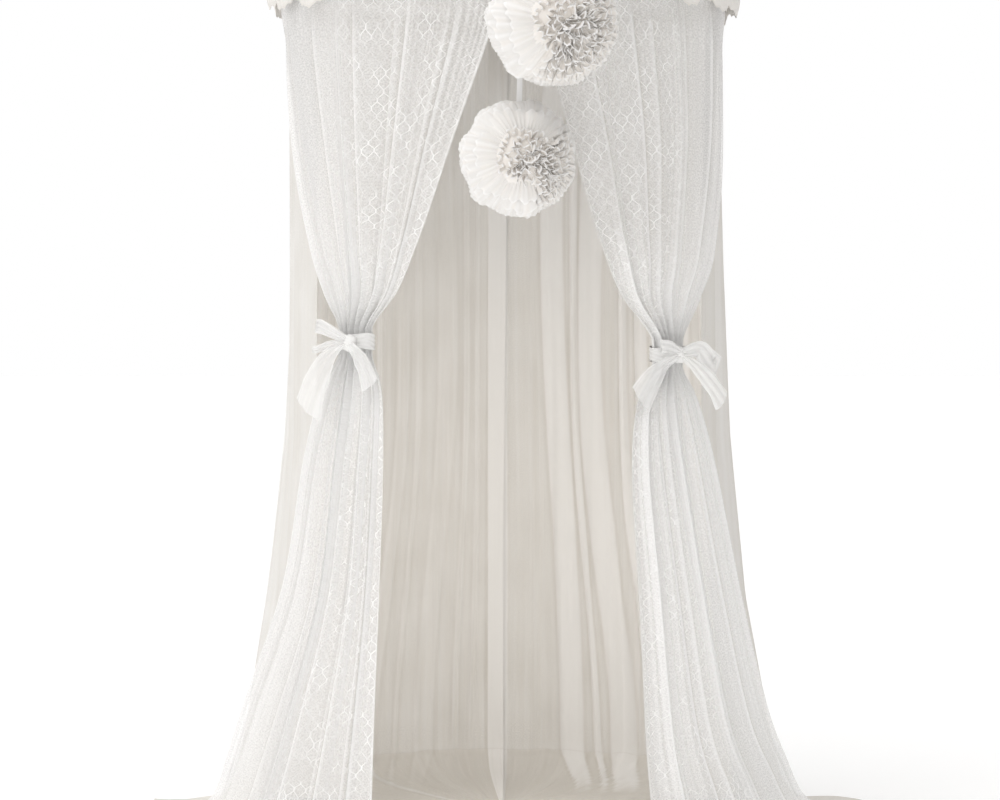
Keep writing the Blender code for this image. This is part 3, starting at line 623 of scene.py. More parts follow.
def lace_material():
    """Fine net with raised thread in rows of zigzags that meet, so that their eyes are six-sided. Its
    colour carries painted shade in folds and painted light near the tie, low down and low on the right.
    """
    material, nodes = start_material("raised_thread_net")
    calc = nodes.calc
    cut, drawn_at = nodes.uv(), nodes.uv("thread")
    close, deep = nodes.attribute("close"), nodes.attribute("deep")
    sway = nodes.add("ShaderNodeTexNoise", {"Vector": drawn_at, "Scale": 26.0, "Detail": 0.0})
    moved = nodes.add("ShaderNodeVectorMath",
                      {0: sway.outputs["Color"], 1: (0.005, 0.008, 0.0), 2: drawn_at},
                      operation="MULTIPLY_ADD").outputs[0]
    grid = nodes.parts(nodes.stretch(moved, (1.0 / LACE_REPEAT[0], 1.0 / LACE_REPEAT[1], 1.0)))
    x, y = grid["X"], grid["Y"]
    swing = nodes.spread(calc("PINGPONG", y, 0.5), 0.08, 0.42, -0.26, 0.26)
    left_line = thread_line(nodes, calc("ADD", x, swing), 0.088)
    right_line = thread_line(nodes, calc("SUBTRACT", calc("ADD", x, 0.5), swing), 0.088)
    level_swing = calc("MULTIPLY", calc("PINGPONG", calc("MULTIPLY", x, 2.0), 0.5), 0.5)
    level_line = thread_line(nodes, calc("ADD", calc("MULTIPLY", y, 2.0), level_swing), 0.085)
    lines = calc("MAXIMUM", calc("MAXIMUM", left_line, right_line), calc("MULTIPLY", level_line, 0.5))
    cells = nodes.add("ShaderNodeTexVoronoi", {"Vector": moved, "Scale": 105.0, "Randomness": 0.75},
                      feature="DISTANCE_TO_EDGE")
    lines = calc("MAXIMUM", lines, nodes.spread(cells.outputs["Distance"], 0.03, 0.14, 0.6, 0.0))
    flat = nodes.parts(cut)
    outer = nodes.spread(flat["X"], 0.26, 0.56, 0.0, 1.0)
    strength = nodes.spread(nodes.noise(cut, 17.0, 1.0), 0.38, 0.60, 0.60, 0.98)
    thread = calc("MULTIPLY", lines, calc("MULTIPLY", strength, calc("MULTIPLY_ADD", outer, -0.62, 1.0)))
    from_middle = calc("ABSOLUTE", calc("SUBTRACT", flat["X"], LACE_CUT[0] / 2))
    side_edge = calc("GREATER_THAN", from_middle, LACE_CUT[0] / 2 - 0.006)
    edge = calc("MAXIMUM", side_edge, calc("GREATER_THAN", flat["Y"], LACE_CUT[1] - 0.05))
    open_net = nodes.spread(nodes.noise(cut, 330.0), 0.3, 0.7, 0.20, 0.38)
    clear = calc("MULTIPLY", open_net, calc("SUBTRACT", 1.0, calc("MULTIPLY", edge, 0.6)))
    ground = calc("SUBTRACT", 1.0, calc("POWER", clear, close), clamp=True)
    alpha = calc("MAXIMUM", ground, calc("MULTIPLY", thread, 0.98), clamp=True)
    # Painted light: the ground is painted paler near the tie, where its folds lie in shade, towards the
    # bottom, and low on the right panel; it is also paler towards the outer side.
    painted_light_near_tie = nodes.spread(calc("ABSOLUTE", calc("SUBTRACT", flat["Y"], 0.72)), 0.05, 0.26, 1.0, 0.0)
    lower = nodes.spread(flat["Y"], 0.62, 1.05, 0.0, 0.45)
    on_right = calc("GREATER_THAN", nodes.parts(nodes.place())["X"], 0.0)
    painted_light_low_right = calc("MULTIPLY", on_right, calc("MULTIPLY", lower, 2.2), clamp=True)
    # Brighter where the thread runs, and where the net lies closer at fold ridges, which is partly painted
    # highlight.
    bright = calc("MAXIMUM", thread, calc("MULTIPLY", calc("SUBTRACT", close, 1.3), 0.45), clamp=True)
    bright = calc("MULTIPLY_ADD", painted_light_near_tie, 0.45, bright, clamp=True)
    bright = calc("MULTIPLY_ADD", painted_light_low_right, 0.35, bright, clamp=True)
    pale = calc("MAXIMUM", calc("MAXIMUM", outer, calc("MAXIMUM", lower, painted_light_near_tie)), painted_light_low_right)
    plain = nodes.mix(pale, (0.83, 0.815, 0.795, 1.0), (0.95, 0.94, 0.93, 1.0))
    plain = nodes.mix(bright, plain, (0.99, 0.985, 0.975, 1.0))
    # Painted shade in the folds from the deep attribute, towards a brown grey, with less of it near the
    # tie.
    dim = calc("MULTIPLY", deep, calc("MULTIPLY_ADD", painted_light_near_tie, -0.24, 0.36))
    crinkle = nodes.noise(nodes.stretch(cut, (150.0, 6.0, 1.0)), 1.0)
    nodes.finish({"Base Color": nodes.mix(dim, plain, (0.55, 0.515, 0.46, 1.0)),
                  "Normal": nodes.bump(calc("MULTIPLY_ADD", crinkle, 0.8, thread), 0.4, 0.0012),
                  "Alpha": alpha, "Roughness": 0.85, "Specular IOR Level": 0.2, "Sheen Weight": 0.1})
    return material


lace = lace_material()
for name, table, side in (("lace_panel_left", LACE_LEFT, -1), ("lace_panel_right", LACE_RIGHT, 1)):
    panel = hang_cloth(name, LACE_GRID, lace_shape(table, side), lace, turned=side > 0)
    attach(panel, "root")
    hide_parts(name.replace("_panel", ""))

# Top cover.
# A round of tulle gathered tight to a neck under the hanging ring. It slopes out as a cone of
# uneven folds and is turned down over the hoop, where it is sewn.
COVER_CUT = (1.60, 0.66)
COVER_GRID = (856, 48)
NECK_RADIUS = 0.0088
NECK_TOP = 2.045
NECK_BOTTOM = 2.015
COVER_FOLDS = 12
COVER_FOLD_DEPTH = 0.009
COVER_SKIRT = 0.018
HOOP_HEIGHT = 1.63
HOOP_WIRE = 0.004
WRAP_GAP = 0.0021

wrap = HOOP_WIRE + WRAP_GAP + CLOTH / 2
# Radius and height from the neck's top to the seam: down the cone, then round the outside of the wire
COVER_ROWS = [(NECK_RADIUS, NECK_TOP), (NECK_RADIUS, NECK_BOTTOM), (0.045, 1.950), (0.150, 1.842),
              (0.310, 1.720)]
for degrees in (60, 25, 0):
    turn = math.radians(degrees)
    COVER_ROWS.append((HOOP_RADIUS + wrap * math.cos(turn), HOOP_HEIGHT + wrap * math.sin(turn)))
COVER_ROWS.append((HOOP_RADIUS + wrap, HOOP_HEIGHT - COVER_SKIRT))


def cover_shape(share, way):
    marks = marks_along(COVER_ROWS)
    way = way - 0.06 * np.sin(math.tau * way)
    position = np.interp(way * marks[-1], marks, np.arange(len(COVER_ROWS)))
    low = np.clip(position.astype(int), 0, len(COVER_ROWS) - 2)
    t = position - low
    table = np.array(COVER_ROWS)
    radius = table[low, 0] + (table[low + 1, 0] - table[low, 0]) * t
    height = table[low, 1] + (table[low + 1, 1] - table[low, 1]) * t
    u = share * COVER_FOLDS
    swell = smooth_step(0.02, 0.20, radius) * smooth_step(HOOP_RADIUS - 0.005, 0.33, radius)
    wobble = 0.25 * np.sin(1.4 * u) * np.sin(math.pi * u / COVER_FOLDS)
    angle = 360.0 * (u + wobble) / COVER_FOLDS
    depth = COVER_FOLD_DEPTH * swell * (0.8 + 0.3 * np.sin(2.1 * u))
    rise = depth * np.cos(math.tau * u)
    ring = math.tau * share
    drawn = np.clip(radius / 0.12, 0.0, 1.0)
    edge = smooth_step(HOOP_RADIUS - 0.004, HOOP_RADIUS - 0.05, radius)
    folds = np.cos(46 * ring + 1.2 * np.sin(5 * ring)) * (0.7 + 0.3 * np.sin(7 * ring + 1.0))
    small = np.cos(118 * ring + 1.5 * np.sin(9 * ring)) * (0.7 + 0.3 * np.sin(11 * ring))
    rise = rise + (0.0035 * folds * drawn + 0.0012 * small) * edge
    neck = smooth_step(0.10, 0.03, radius)
    radius = radius + 0.0009 * neck * np.cos(22 * ring + 0.8 * np.sin(3 * ring))
    shirr = smooth_step(0.36, 0.43, radius) * smooth_step(HOOP_HEIGHT - 0.02, HOOP_HEIGHT + 0.03, height)
    rise = rise + 0.0009 * shirr * np.cos(214 * ring + 2.0 * np.sin(13 * ring)) * edge
    cut = np.stack([share * COVER_CUT[0], way * COVER_CUT[1]], axis=1)
    return around(angle, radius, height + rise), cut, 1.4 * smooth_step(0.20, 0.01, radius)


cover_tulle = tulle_material("crown_tulle", (0.92, 0.90, 0.865, 1.0), (0.86, 0.83, 0.785, 1.0), 0.74,
                             9.0, 0.0)
cover = hang_cloth("gathered_cover", COVER_GRID, cover_shape, cover_tulle, turned=True, closed=True)
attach(cover, "root")
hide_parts("top_cover")

# Frill.
# A strip of the same tulle, folded double and shirred tight, sewn over the hoop to hide the seam.
# It puffs out over the wire and its lower edge falls in small scallops.
FRILL_CUT = (3.90, 0.075)
FRILL_GRID = (1000, 22)
FRILL_SCALLOPS = 21
FRILL_WAVE = 0.0045
FRILL_SCALLOP_DEPTH = 0.010
SEAM_GAP = 0.0004
FrillRow = namedtuple("FrillRow", "out height wave scallop trail")
FRILL_ROWS = [FrillRow(*row) for row in (
    (0, 1.6275, 0, 0, 0),
    (0.005, 1.6375, 0.3, 0, 0),
    (0.011, 1.639, 0.5, 0, 0),
    (0.015, 1.628, 0.8, 0.2, 0),
    (0.014, 1.612, 0.9, 0.6, 0),
    (0.0115, 1.596, 1, 1, 0),
)]


def frill_shape(share, way):
    row = table_at(FRILL_ROWS, row_number(FRILL_ROWS, 0.0, way))
    head = HOOP_RADIUS + HOOP_WIRE + WRAP_GAP + SEAM_GAP + CLOTH * 1.5
    u = share * FRILL_SCALLOPS
    wobble = 0.2 * np.sin(1.3 * u) * np.sin(math.pi * share)
    swing = np.cos(math.tau * u)
    ring = math.tau * share
    drop = FRILL_SCALLOP_DEPTH * row.scallop * (0.75 + 0.25 * np.sin(2.2 * u)) * swing
    fine = np.cos(226 * ring + 2.4 * np.sin(17 * ring) + 1.1 * way) * (0.7 + 0.3 * np.sin(31 * ring))
    puff = np.cos(97 * ring + 1.8 * np.sin(11 * ring) + 0.8 * way)
    swell = np.sin(math.pi * np.clip(way * 1.15, 0.0, 1.0)) ** 0.6
    out = row.out + FRILL_WAVE * row.wave * swing + (0.0016 * fine + 0.0022 * puff) * (0.15 + 0.85 * swell)
    height = row.height - drop + 0.0022 * puff * row.scallop - 0.0012 * fine * row.scallop
    height = height + 0.018 * row.scallop * np.exp(-((share - 0.735) / 0.05) ** 2)
    cut = np.stack([share * FRILL_CUT[0], way * FRILL_CUT[1]], axis=1)
    angle = 360.0 * (u + wobble) / FRILL_SCALLOPS
    return around(angle, head + np.maximum(out, 0.0), height), cut, 0.8 + 0 * way


frill_tulle = tulle_material("frill_tulle", (0.90, 0.875, 0.835, 1.0), (0.85, 0.815, 0.765, 1.0), 0.70,
                             0.075, 0.006)
frill = hang_cloth("shirred_frill", FRILL_GRID, frill_shape, frill_tulle, turned=True, closed=True)
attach(frill, "root")
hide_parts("frill")

# Hoop.
# A steel wire bent to a full circle and painted white. The cover is turned down over it.
paint, nodes = start_material("white_wire_paint")
speck = nodes.noise(nodes.place(), 260.0, 3.0)
nodes.finish({"Base Color": nodes.mix(speck, (0.82, 0.805, 0.77, 1.0), (0.91, 0.90, 0.875, 1.0)),
              "Normal": nodes.bump(speck, 0.15, 0.0005), "Roughness": 0.42})
for hoop_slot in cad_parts["hoop"].material_slots:
    hoop_slot.material = paint

# Hanging ring and tape.
# A small plated steel ring goes on the ceiling hook. A loop of woven cotton tape passes through
# it and is sewn into the gathered neck of the cover.
RING_RADIUS = 0.016
RING_WIRE = 0.0025
TAPE_WIDTH = 0.012
TAPE_GRID = (8, 120)
TAPE_THICKNESS = 0.0010
TAPE_RISE = 0.0012
TAPE_BOTTOM = 2.02

plating, nodes = start_material("brushed_plating")
brush = nodes.noise(nodes.stretch(nodes.place(), (600.0, 90.0, 600.0)), 1.0, 4.0)
nodes.finish({"Base Color": nodes.mix(brush, (0.58, 0.57, 0.56, 1.0), (0.74, 0.735, 0.73, 1.0)),
              "Roughness": nodes.spread(brush, 0.3, 0.7, 0.22, 0.38), "Metallic": 1.0})

builder = bmesh.new()
section = bmesh.ops.create_circle(builder, segments=20, radius=RING_WIRE,
                                  matrix=Matrix.Translation((RING_RADIUS, 0,
                                                             0)) @ Matrix.Rotation(math.pi / 2, 4, "X"))
edges = list({edge for vert in section["verts"] for edge in vert.link_edges})
bmesh.ops.spin(builder, geom=section["verts"] + edges, cent=(0, 0, 0), axis=(0, 0, 1), angle=math.tau,
               steps=96,
               use_merge=True, use_duplicate=False)
bmesh.ops.remove_doubles(builder, verts=builder.verts, dist=MERGE_WITHIN)
bmesh.ops.recalc_face_normals(builder, faces=builder.faces)
bmesh.ops.transform(builder, verts=builder.verts,
                    matrix=Matrix.Translation((0, 0, -RING_RADIUS + RING_WIRE))
                    @ Matrix.Rotation(math.pi / 2, 4, "X"))
ring = add_object("plated_ring", mesh_from(builder, "plated_ring"))
ring.data.materials.append(plating)
ring.data.shade_smooth()
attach(ring, "root")
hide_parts("hanging_ring")


def tape_shape(share, way):
    """The tape's closed way: over the ring's wire, down both sides and round inside the neck."""
    inner = RING_WIRE + SEAM_GAP + CLOTH / 2
    top = -2 * RING_RADIUS + 2 * RING_WIRE + TAPE_RISE
    bottom = TAPE_BOTTOM - HANG_HEIGHT
    bend = math.pi * inner
    straight = top - bottom
    run = way * (2 * bend + 2 * straight)
    turn_over = np.clip(run / bend, 0, 1) * math.pi
    turn_under = math.pi + np.clip((run - bend - straight) / bend, 0, 1) * math.pi
    stretches = [run < bend, run < bend + straight, run < 2 * bend + straight]
    y = np.select(stretches, [inner * np.cos(turn_over), -inner, inner * np.cos(turn_under)], inner)
    z = np.select(stretches,
                  [top + inner * np.sin(turn_over), top - (run - bend),
                   bottom + inner * np.sin(turn_under)],
                  bottom + (run - 2 * bend - straight))
    x = (share - 0.5) * TAPE_WIDTH
    cut = np.stack([share * TAPE_WIDTH, run], axis=1)
    return np.stack([x, y, z], axis=1), cut, np.zeros_like(x)


cotton, nodes = start_material("woven_cotton_tape")
twill = nodes.add("ShaderNodeTexWave",
                  {"Vector": nodes.uv(), "Scale": 420.0, "Distortion": 1.5, "Detail": 2.0},
                  wave_type="BANDS", bands_direction="DIAGONAL").outputs[1]
nodes.finish({"Base Color": nodes.mix(twill, (0.78, 0.755, 0.71, 1.0), (0.90, 0.885, 0.85, 1.0)),
              "Normal": nodes.bump(twill, 0.5, 0.0004), "Roughness": 0.9})

tape = hang_cloth("tape_loop", TAPE_GRID, tape_shape, cotton, closed=True)
solid = tape.modifiers.new("tape thickness", "SOLIDIFY")
solid.thickness = TAPE_THICKNESS
solid.offset = 0.0
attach(tape, "root")
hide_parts("hanging_loop")

# Sashes.
# A length of soft sheer ribbon round each drawn-back panel, tied in a bow before it: a gathered
# band, a tight knot, short loops and long free tails with cut ends.
SASH_CUT = (0.045, 0.15)
BAND_GRID = (150, 16)
LOOP_GRID = (16, 48)
TAIL_GRID = (18, 44)
BAND_LENGTH = 0.24
BAND_HALF_WIDE = 0.0460
BAND_HALF_DEEP = 0.0275
BAND_HEIGHT = 0.028
KNOT_OUT = 0.0392
KNOT_CLOSE = 3.0
GATHER_RADIUS = 0.412

SashPoint = namedtuple("SashPoint", "along up out width")


def paths(*lists):
    return [[SashPoint(*point) for point in points] for points in lists]


TIE_LEFT = dict(
    angle=-43, facing=-20, height=0.95, knot=(0.004, -0.002),
    loops=paths([(0, 0.004, 0.047, 0.014), (-0.032, 0.02, 0.05, 0.022), (-0.056, 0.03, 0.044, 0.026)],
                [(-0.002, 0, 0.046, 0.012), (-0.034, -0.006, 0.05, 0.016),
                 (-0.062, -0.016, 0.047, 0.012)]),
    tails=paths([(0, 0, 0.046, 0.014), (-0.03, -0.026, 0.056, 0.03), (-0.055, -0.078, 0.062, 0.052),
                 (-0.072, -0.14, 0.07, 0.066)],
                [(0.004, -0.002, 0.046, 0.012), (0.028, -0.024, 0.056, 0.024),
                 (0.048, -0.056, 0.062, 0.034), (0.06, -0.088, 0.066, 0.038)]))
TIE_RIGHT = dict(
    angle=50, facing=24, height=0.925, knot=(0.002, 0),
    loops=paths([(0, 0.004, 0.047, 0.014), (-0.022, 0.014, 0.051, 0.024), (-0.034, 0.016, 0.048, 0.026)],
                [(0.006, 0.002, 0.047, 0.016), (0.04, 0.01, 0.05, 0.034), (0.066, -0.018, 0.052, 0.042)]),
    tails=paths([(0, 0, 0.046, 0.014), (-0.036, -0.018, 0.056, 0.024), (-0.07, -0.05, 0.064, 0.044),
                 (-0.098, -0.092, 0.068, 0.058)],
                [(0.006, -0.002, 0.046, 0.014), (0.036, -0.026, 0.056, 0.026),
                 (0.064, -0.06, 0.064, 0.034), (0.084, -0.096, 0.07, 0.04)]))


def level_axes(angle):
    turn = math.radians(angle)
    return np.array((math.cos(turn), math.sin(turn), 0.0)), np.array((math.sin(turn), -math.cos(turn),
                                                                      0.0))


def sash_strip(path, middle, axes, start, tail):
    """Strip along a bow's path: gathered at the knot, its pleats opening towards the far end."""
    along_axis, out_axis = axes

    def points_at(way):
        row = table_at(path, np.clip(way, 0.0, 1.0) * (len(path) - 1))
        up = row.up[:, None] * np.array((0.0, 0.0, 1.0))
        return middle + row.along[:, None] * along_axis + row.out[:, None] * out_axis + up, row

    def shape(share, way):
        if tail:
            way = way * (0.91 + 0.09 * math.copysign(1.0, path[-1].along) * (2.0 * share - 1.0))
        point, row = points_at(way)
        ahead, _ = points_at(way + 0.02)
        behind, _ = points_at(way - 0.02)
        direction = ahead - behind
        across = np.cross(direction, out_axis)
        across = across / np.linalg.norm(across, axis=1)[:, None]
        side = 2.0 * share - 1.0
        near = np.exp(-way * 4.0) + (0.0 if tail else np.exp(-(1.0 - way) * 4.0))
        pleat = np.cos(math.tau * (2.6 * share + 0.35 * np.sin(3.1 * way + start) + start))
        curl = 0.0022 * np.sin(9.0 * way + start * 2.0) * side + 0.003 * (1.0 - side * side)
        out = curl + (0.0014 + 0.0016 * near) * pleat * np.minimum(1.0, row.width / 0.03)
        ruffle = 0.0012 * np.abs(side) ** 3 * np.sin(23.0 * way + 5.0 * start + side)
        width = row.width * (1.0 + 0.05 * np.sin(11.0 * way + start))
        place = point + across * (side * width / 2)[:, None] + out_axis * (out + ruffle)[:, None]
        cut = np.stack([share * SASH_CUT[0], way * SASH_CUT[1]], axis=1)
        return place, cut, 0.8 * near

    return shape


def band_shape(middle, axes, height):
    def shape(share, way):
        turn = math.tau * share
        pleat = 0.0009 * np.cos(math.tau * 3.5 * way + 1.4 * np.sin(2 * turn) + 0.7 * np.sin(5 * turn))
        waist = 1.0 + 0.02 * np.cos(3 * turn)
        wide = BAND_HALF_WIDE * waist + pleat
        deep = BAND_HALF_DEEP * waist + pleat
        up = (0.5 - way) * height * (1.0 + 0.12 * np.sin(3 * turn + 1.0)) + 0.002 * np.sin(2 * turn)
        place = (middle + (wide * np.cos(turn))[:, None] * axes[0] + (deep * np.sin(turn))[:,
                                                                                           None] * axes[1]
                 + up[:, None] * np.array((0.0, 0.0, 1.0)))
        return place, np.stack([share * BAND_LENGTH, way * height], axis=1), 1.2 + 0 * way

    return shape


def sash_material():
    """Fine sheer weave with a faint sheen, closer at its sewn edges and where it is drawn in."""
    material, nodes = start_material("sheer_sash")
    calc = nodes.calc
    cut, close = nodes.uv(), nodes.attribute("close")
    crease = nodes.noise(nodes.stretch(cut, (320.0, 26.0, 1.0)), 1.0, 1.0)
    from_middle = calc("ABSOLUTE", calc("SUBTRACT", nodes.parts(cut)["X"], SASH_CUT[0] / 2))
    edge = nodes.spread(from_middle, 0.0195, 0.021, 0.0, 0.5)
    clear = calc("MULTIPLY_ADD", crease, 0.16, 0.32)
    clear = calc("MULTIPLY", clear, calc("SUBTRACT", 1.0, edge))
    nodes.finish({"Base Color": nodes.mix(crease, (0.93, 0.92, 0.90, 1.0), (0.99, 0.985, 0.975, 1.0)),
                  "Normal": nodes.bump(crease, 0.25, 0.0012),
                  "Alpha": calc("SUBTRACT", 1.0, calc("POWER", clear, close), clamp=True),
                  "Roughness": 0.7, "Sheen Weight": 0.2})
    return material


def ribbon_cut(path):
    """Mean width and length of the ribbon along a path."""
    runs = [math.dist(a[:3], b[:3]) for a, b in zip(path, path[1:])]
    widths = [(a.width + b.width) / 2 for a, b in zip(path, path[1:])]
    return sum(run * width for run, width in zip(runs, widths)) / sum(runs), sum(runs)


def loop_path(path):
    """The way out along a loop, round its end and back behind it."""
    back = [p._replace(out=p.out - 0.010, width=p.width * 0.9) for p in reversed(path[:-1])]
    end = path[-1]
    turn = end._replace(along=end.along + (end.along - path[-2].along) * 0.25, out=end.out - 0.005)
    return path + [turn] + back


sash = sash_material()
for side_name, tie in (("left", TIE_LEFT), ("right", TIE_RIGHT)):
    middle = around(np.array([tie["angle"]]), GATHER_RADIUS, tie["height"])[0]
    axes = level_axes(tie["facing"])
    band = hang_cloth("sash_band_" + side_name, BAND_GRID,
                      band_shape(middle, level_axes(tie["angle"]), BAND_HEIGHT), sash,
                      closed=True)
    parts = [band]
    for i, path in enumerate(tie["loops"]):
        path = loop_path(path)
        loop = hang_cloth(f"sash_loop_{side_name}_{i}", LOOP_GRID,
                          sash_strip(path, middle, axes, 1.3 * i + 0.4, False), sash)
        ribbon_cut(path)
        parts.append(loop)
    for i, path in enumerate(tie["tails"]):
        tail = hang_cloth(f"sash_tail_{side_name}_{i}", TAIL_GRID,
                          sash_strip(path, middle, axes, 0.9 * i + 2.1, True), sash)
        ribbon_cut(path)
        parts.append(tail)
    builder = bmesh.new()
    bmesh.ops.create_icosphere(builder, subdivisions=5, radius=1.0)
    along, up = tie["knot"]
    for vert in builder.verts:
        x, y, z = vert.co
        fold = 0.05 * math.cos(9.0 * z + 2.0 * x + tie["angle"]) + 0.03 * math.cos(17.0 * z + 3.0 * x)
        pinch = 1.0 + fold - 0.12 * math.exp(-(z / 0.3) ** 2) * abs(x)
        spot = (middle + axes[0] * (along + 0.015 * x * pinch) + axes[1] * (KNOT_OUT + 0.0115 * y * pinch)
                + np.array((0.0, 0.0, up + 0.017 * z * pinch)))
        vert.co = spot
    bmesh.ops.recalc_face_normals(builder, faces=builder.faces)
    knot = add_object("sash_knot_" + side_name, mesh_from(builder, "sash_knot_" + side_name))
    knot.data.materials.append(sash)
    knot.data.shade_smooth()
    parts.append(knot)
    knot_close = knot.data.attributes.new("close", "FLOAT", "POINT")
    knot_close.data.foreach_set("value", np.full(len(knot.data.vertices), KNOT_CLOSE, np.float32))
    for part in parts:
        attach(part, "root")
        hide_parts("tie_" + side_name)

# Pompoms.
# Full rounds of soft tulle, gathered at their middles and tied together into a ball, so that the
# ruffled edges crowd against each other all over it. Each has a dense heart.
Pompom = namedtuple("Pompom", "centre_x centre_y height radius")
POMPOMS = {"upper": Pompom(0.088, -0.592, 1.530, 0.125), "lower": Pompom(0.027, -0.524, 1.286, 0.112)}
KNOT_SHARE = 0.46
HEART_SHARE = 0.85
HEART_CLOSE = 4.0
PETAL_CUT = (0.015, 0.07)
BACK_HALF = 20
# Each round of tulle: polar angles of its root and its free edge from the ball's crown, and of that
# edge where it lies smooth as a fan; the share of the radius at its root and edge, broad lobes, fine
# ruffles, and how far the edge swings and loops
Round = namedtuple("Round", "root edge fan inner outer lobes ruffles swing loop")
ROUNDS = [Round(*row) for row in (
    (44, 101, 101, 0.82, 0.945, 5, 84, 0.02, 0),
    (42, 95, 97, 0.84, 0.95, 6, 76, 0.02, 0),
    (40, 86, 93, 0.86, 0.953, 5, 68, 0.02, 0.3),
    (38, 75, 88, 0.86, 0.956, 4, 56, 0.025, 0.6),
    (38, 64, 91, 0.86, 0.959, 4, 46, 0.025, 0.8),
    (37, 53, 82, 0.85, 0.962, 4, 40, 0.03, 0.9),
    (37, 45, 86, 0.84, 0.965, 4, 36, 0.03, 1),
    (33, 38, 74, 0.83, 0.968, 5, 34, 0.03, 1),
    (28, 32, 78, 0.82, 0.97, 5, 32, 0.03, 1),
    (23, 26, 64, 0.81, 0.972, 4, 30, 0.03, 1),
    (18, 20, 52, 0.8, 0.974, 4, 24, 0.03, 1),
    (12, 14, 30, 0.8, 0.976, 3, 14, 0.03, 1),
    (7, 8, 14, 0.8, 0.976, 3, 8, 0.03, 1),
    (2, 3, 5, 0.8, 0.974, 2, 3, 0.03, 1),
)]


def pompom_middle(shape):
    return Vector((shape.centre_x, shape.centre_y, shape.height - HANG_HEIGHT))


def calm_side(fans, turn_cosine, off_crown):
    """How far the edges lie smooth as a fan: on the ball's calm side and away from its crown."""
    return smooth_step(fans, fans - 0.6, turn_cosine) * smooth_step(17.0, 30.0, off_crown)


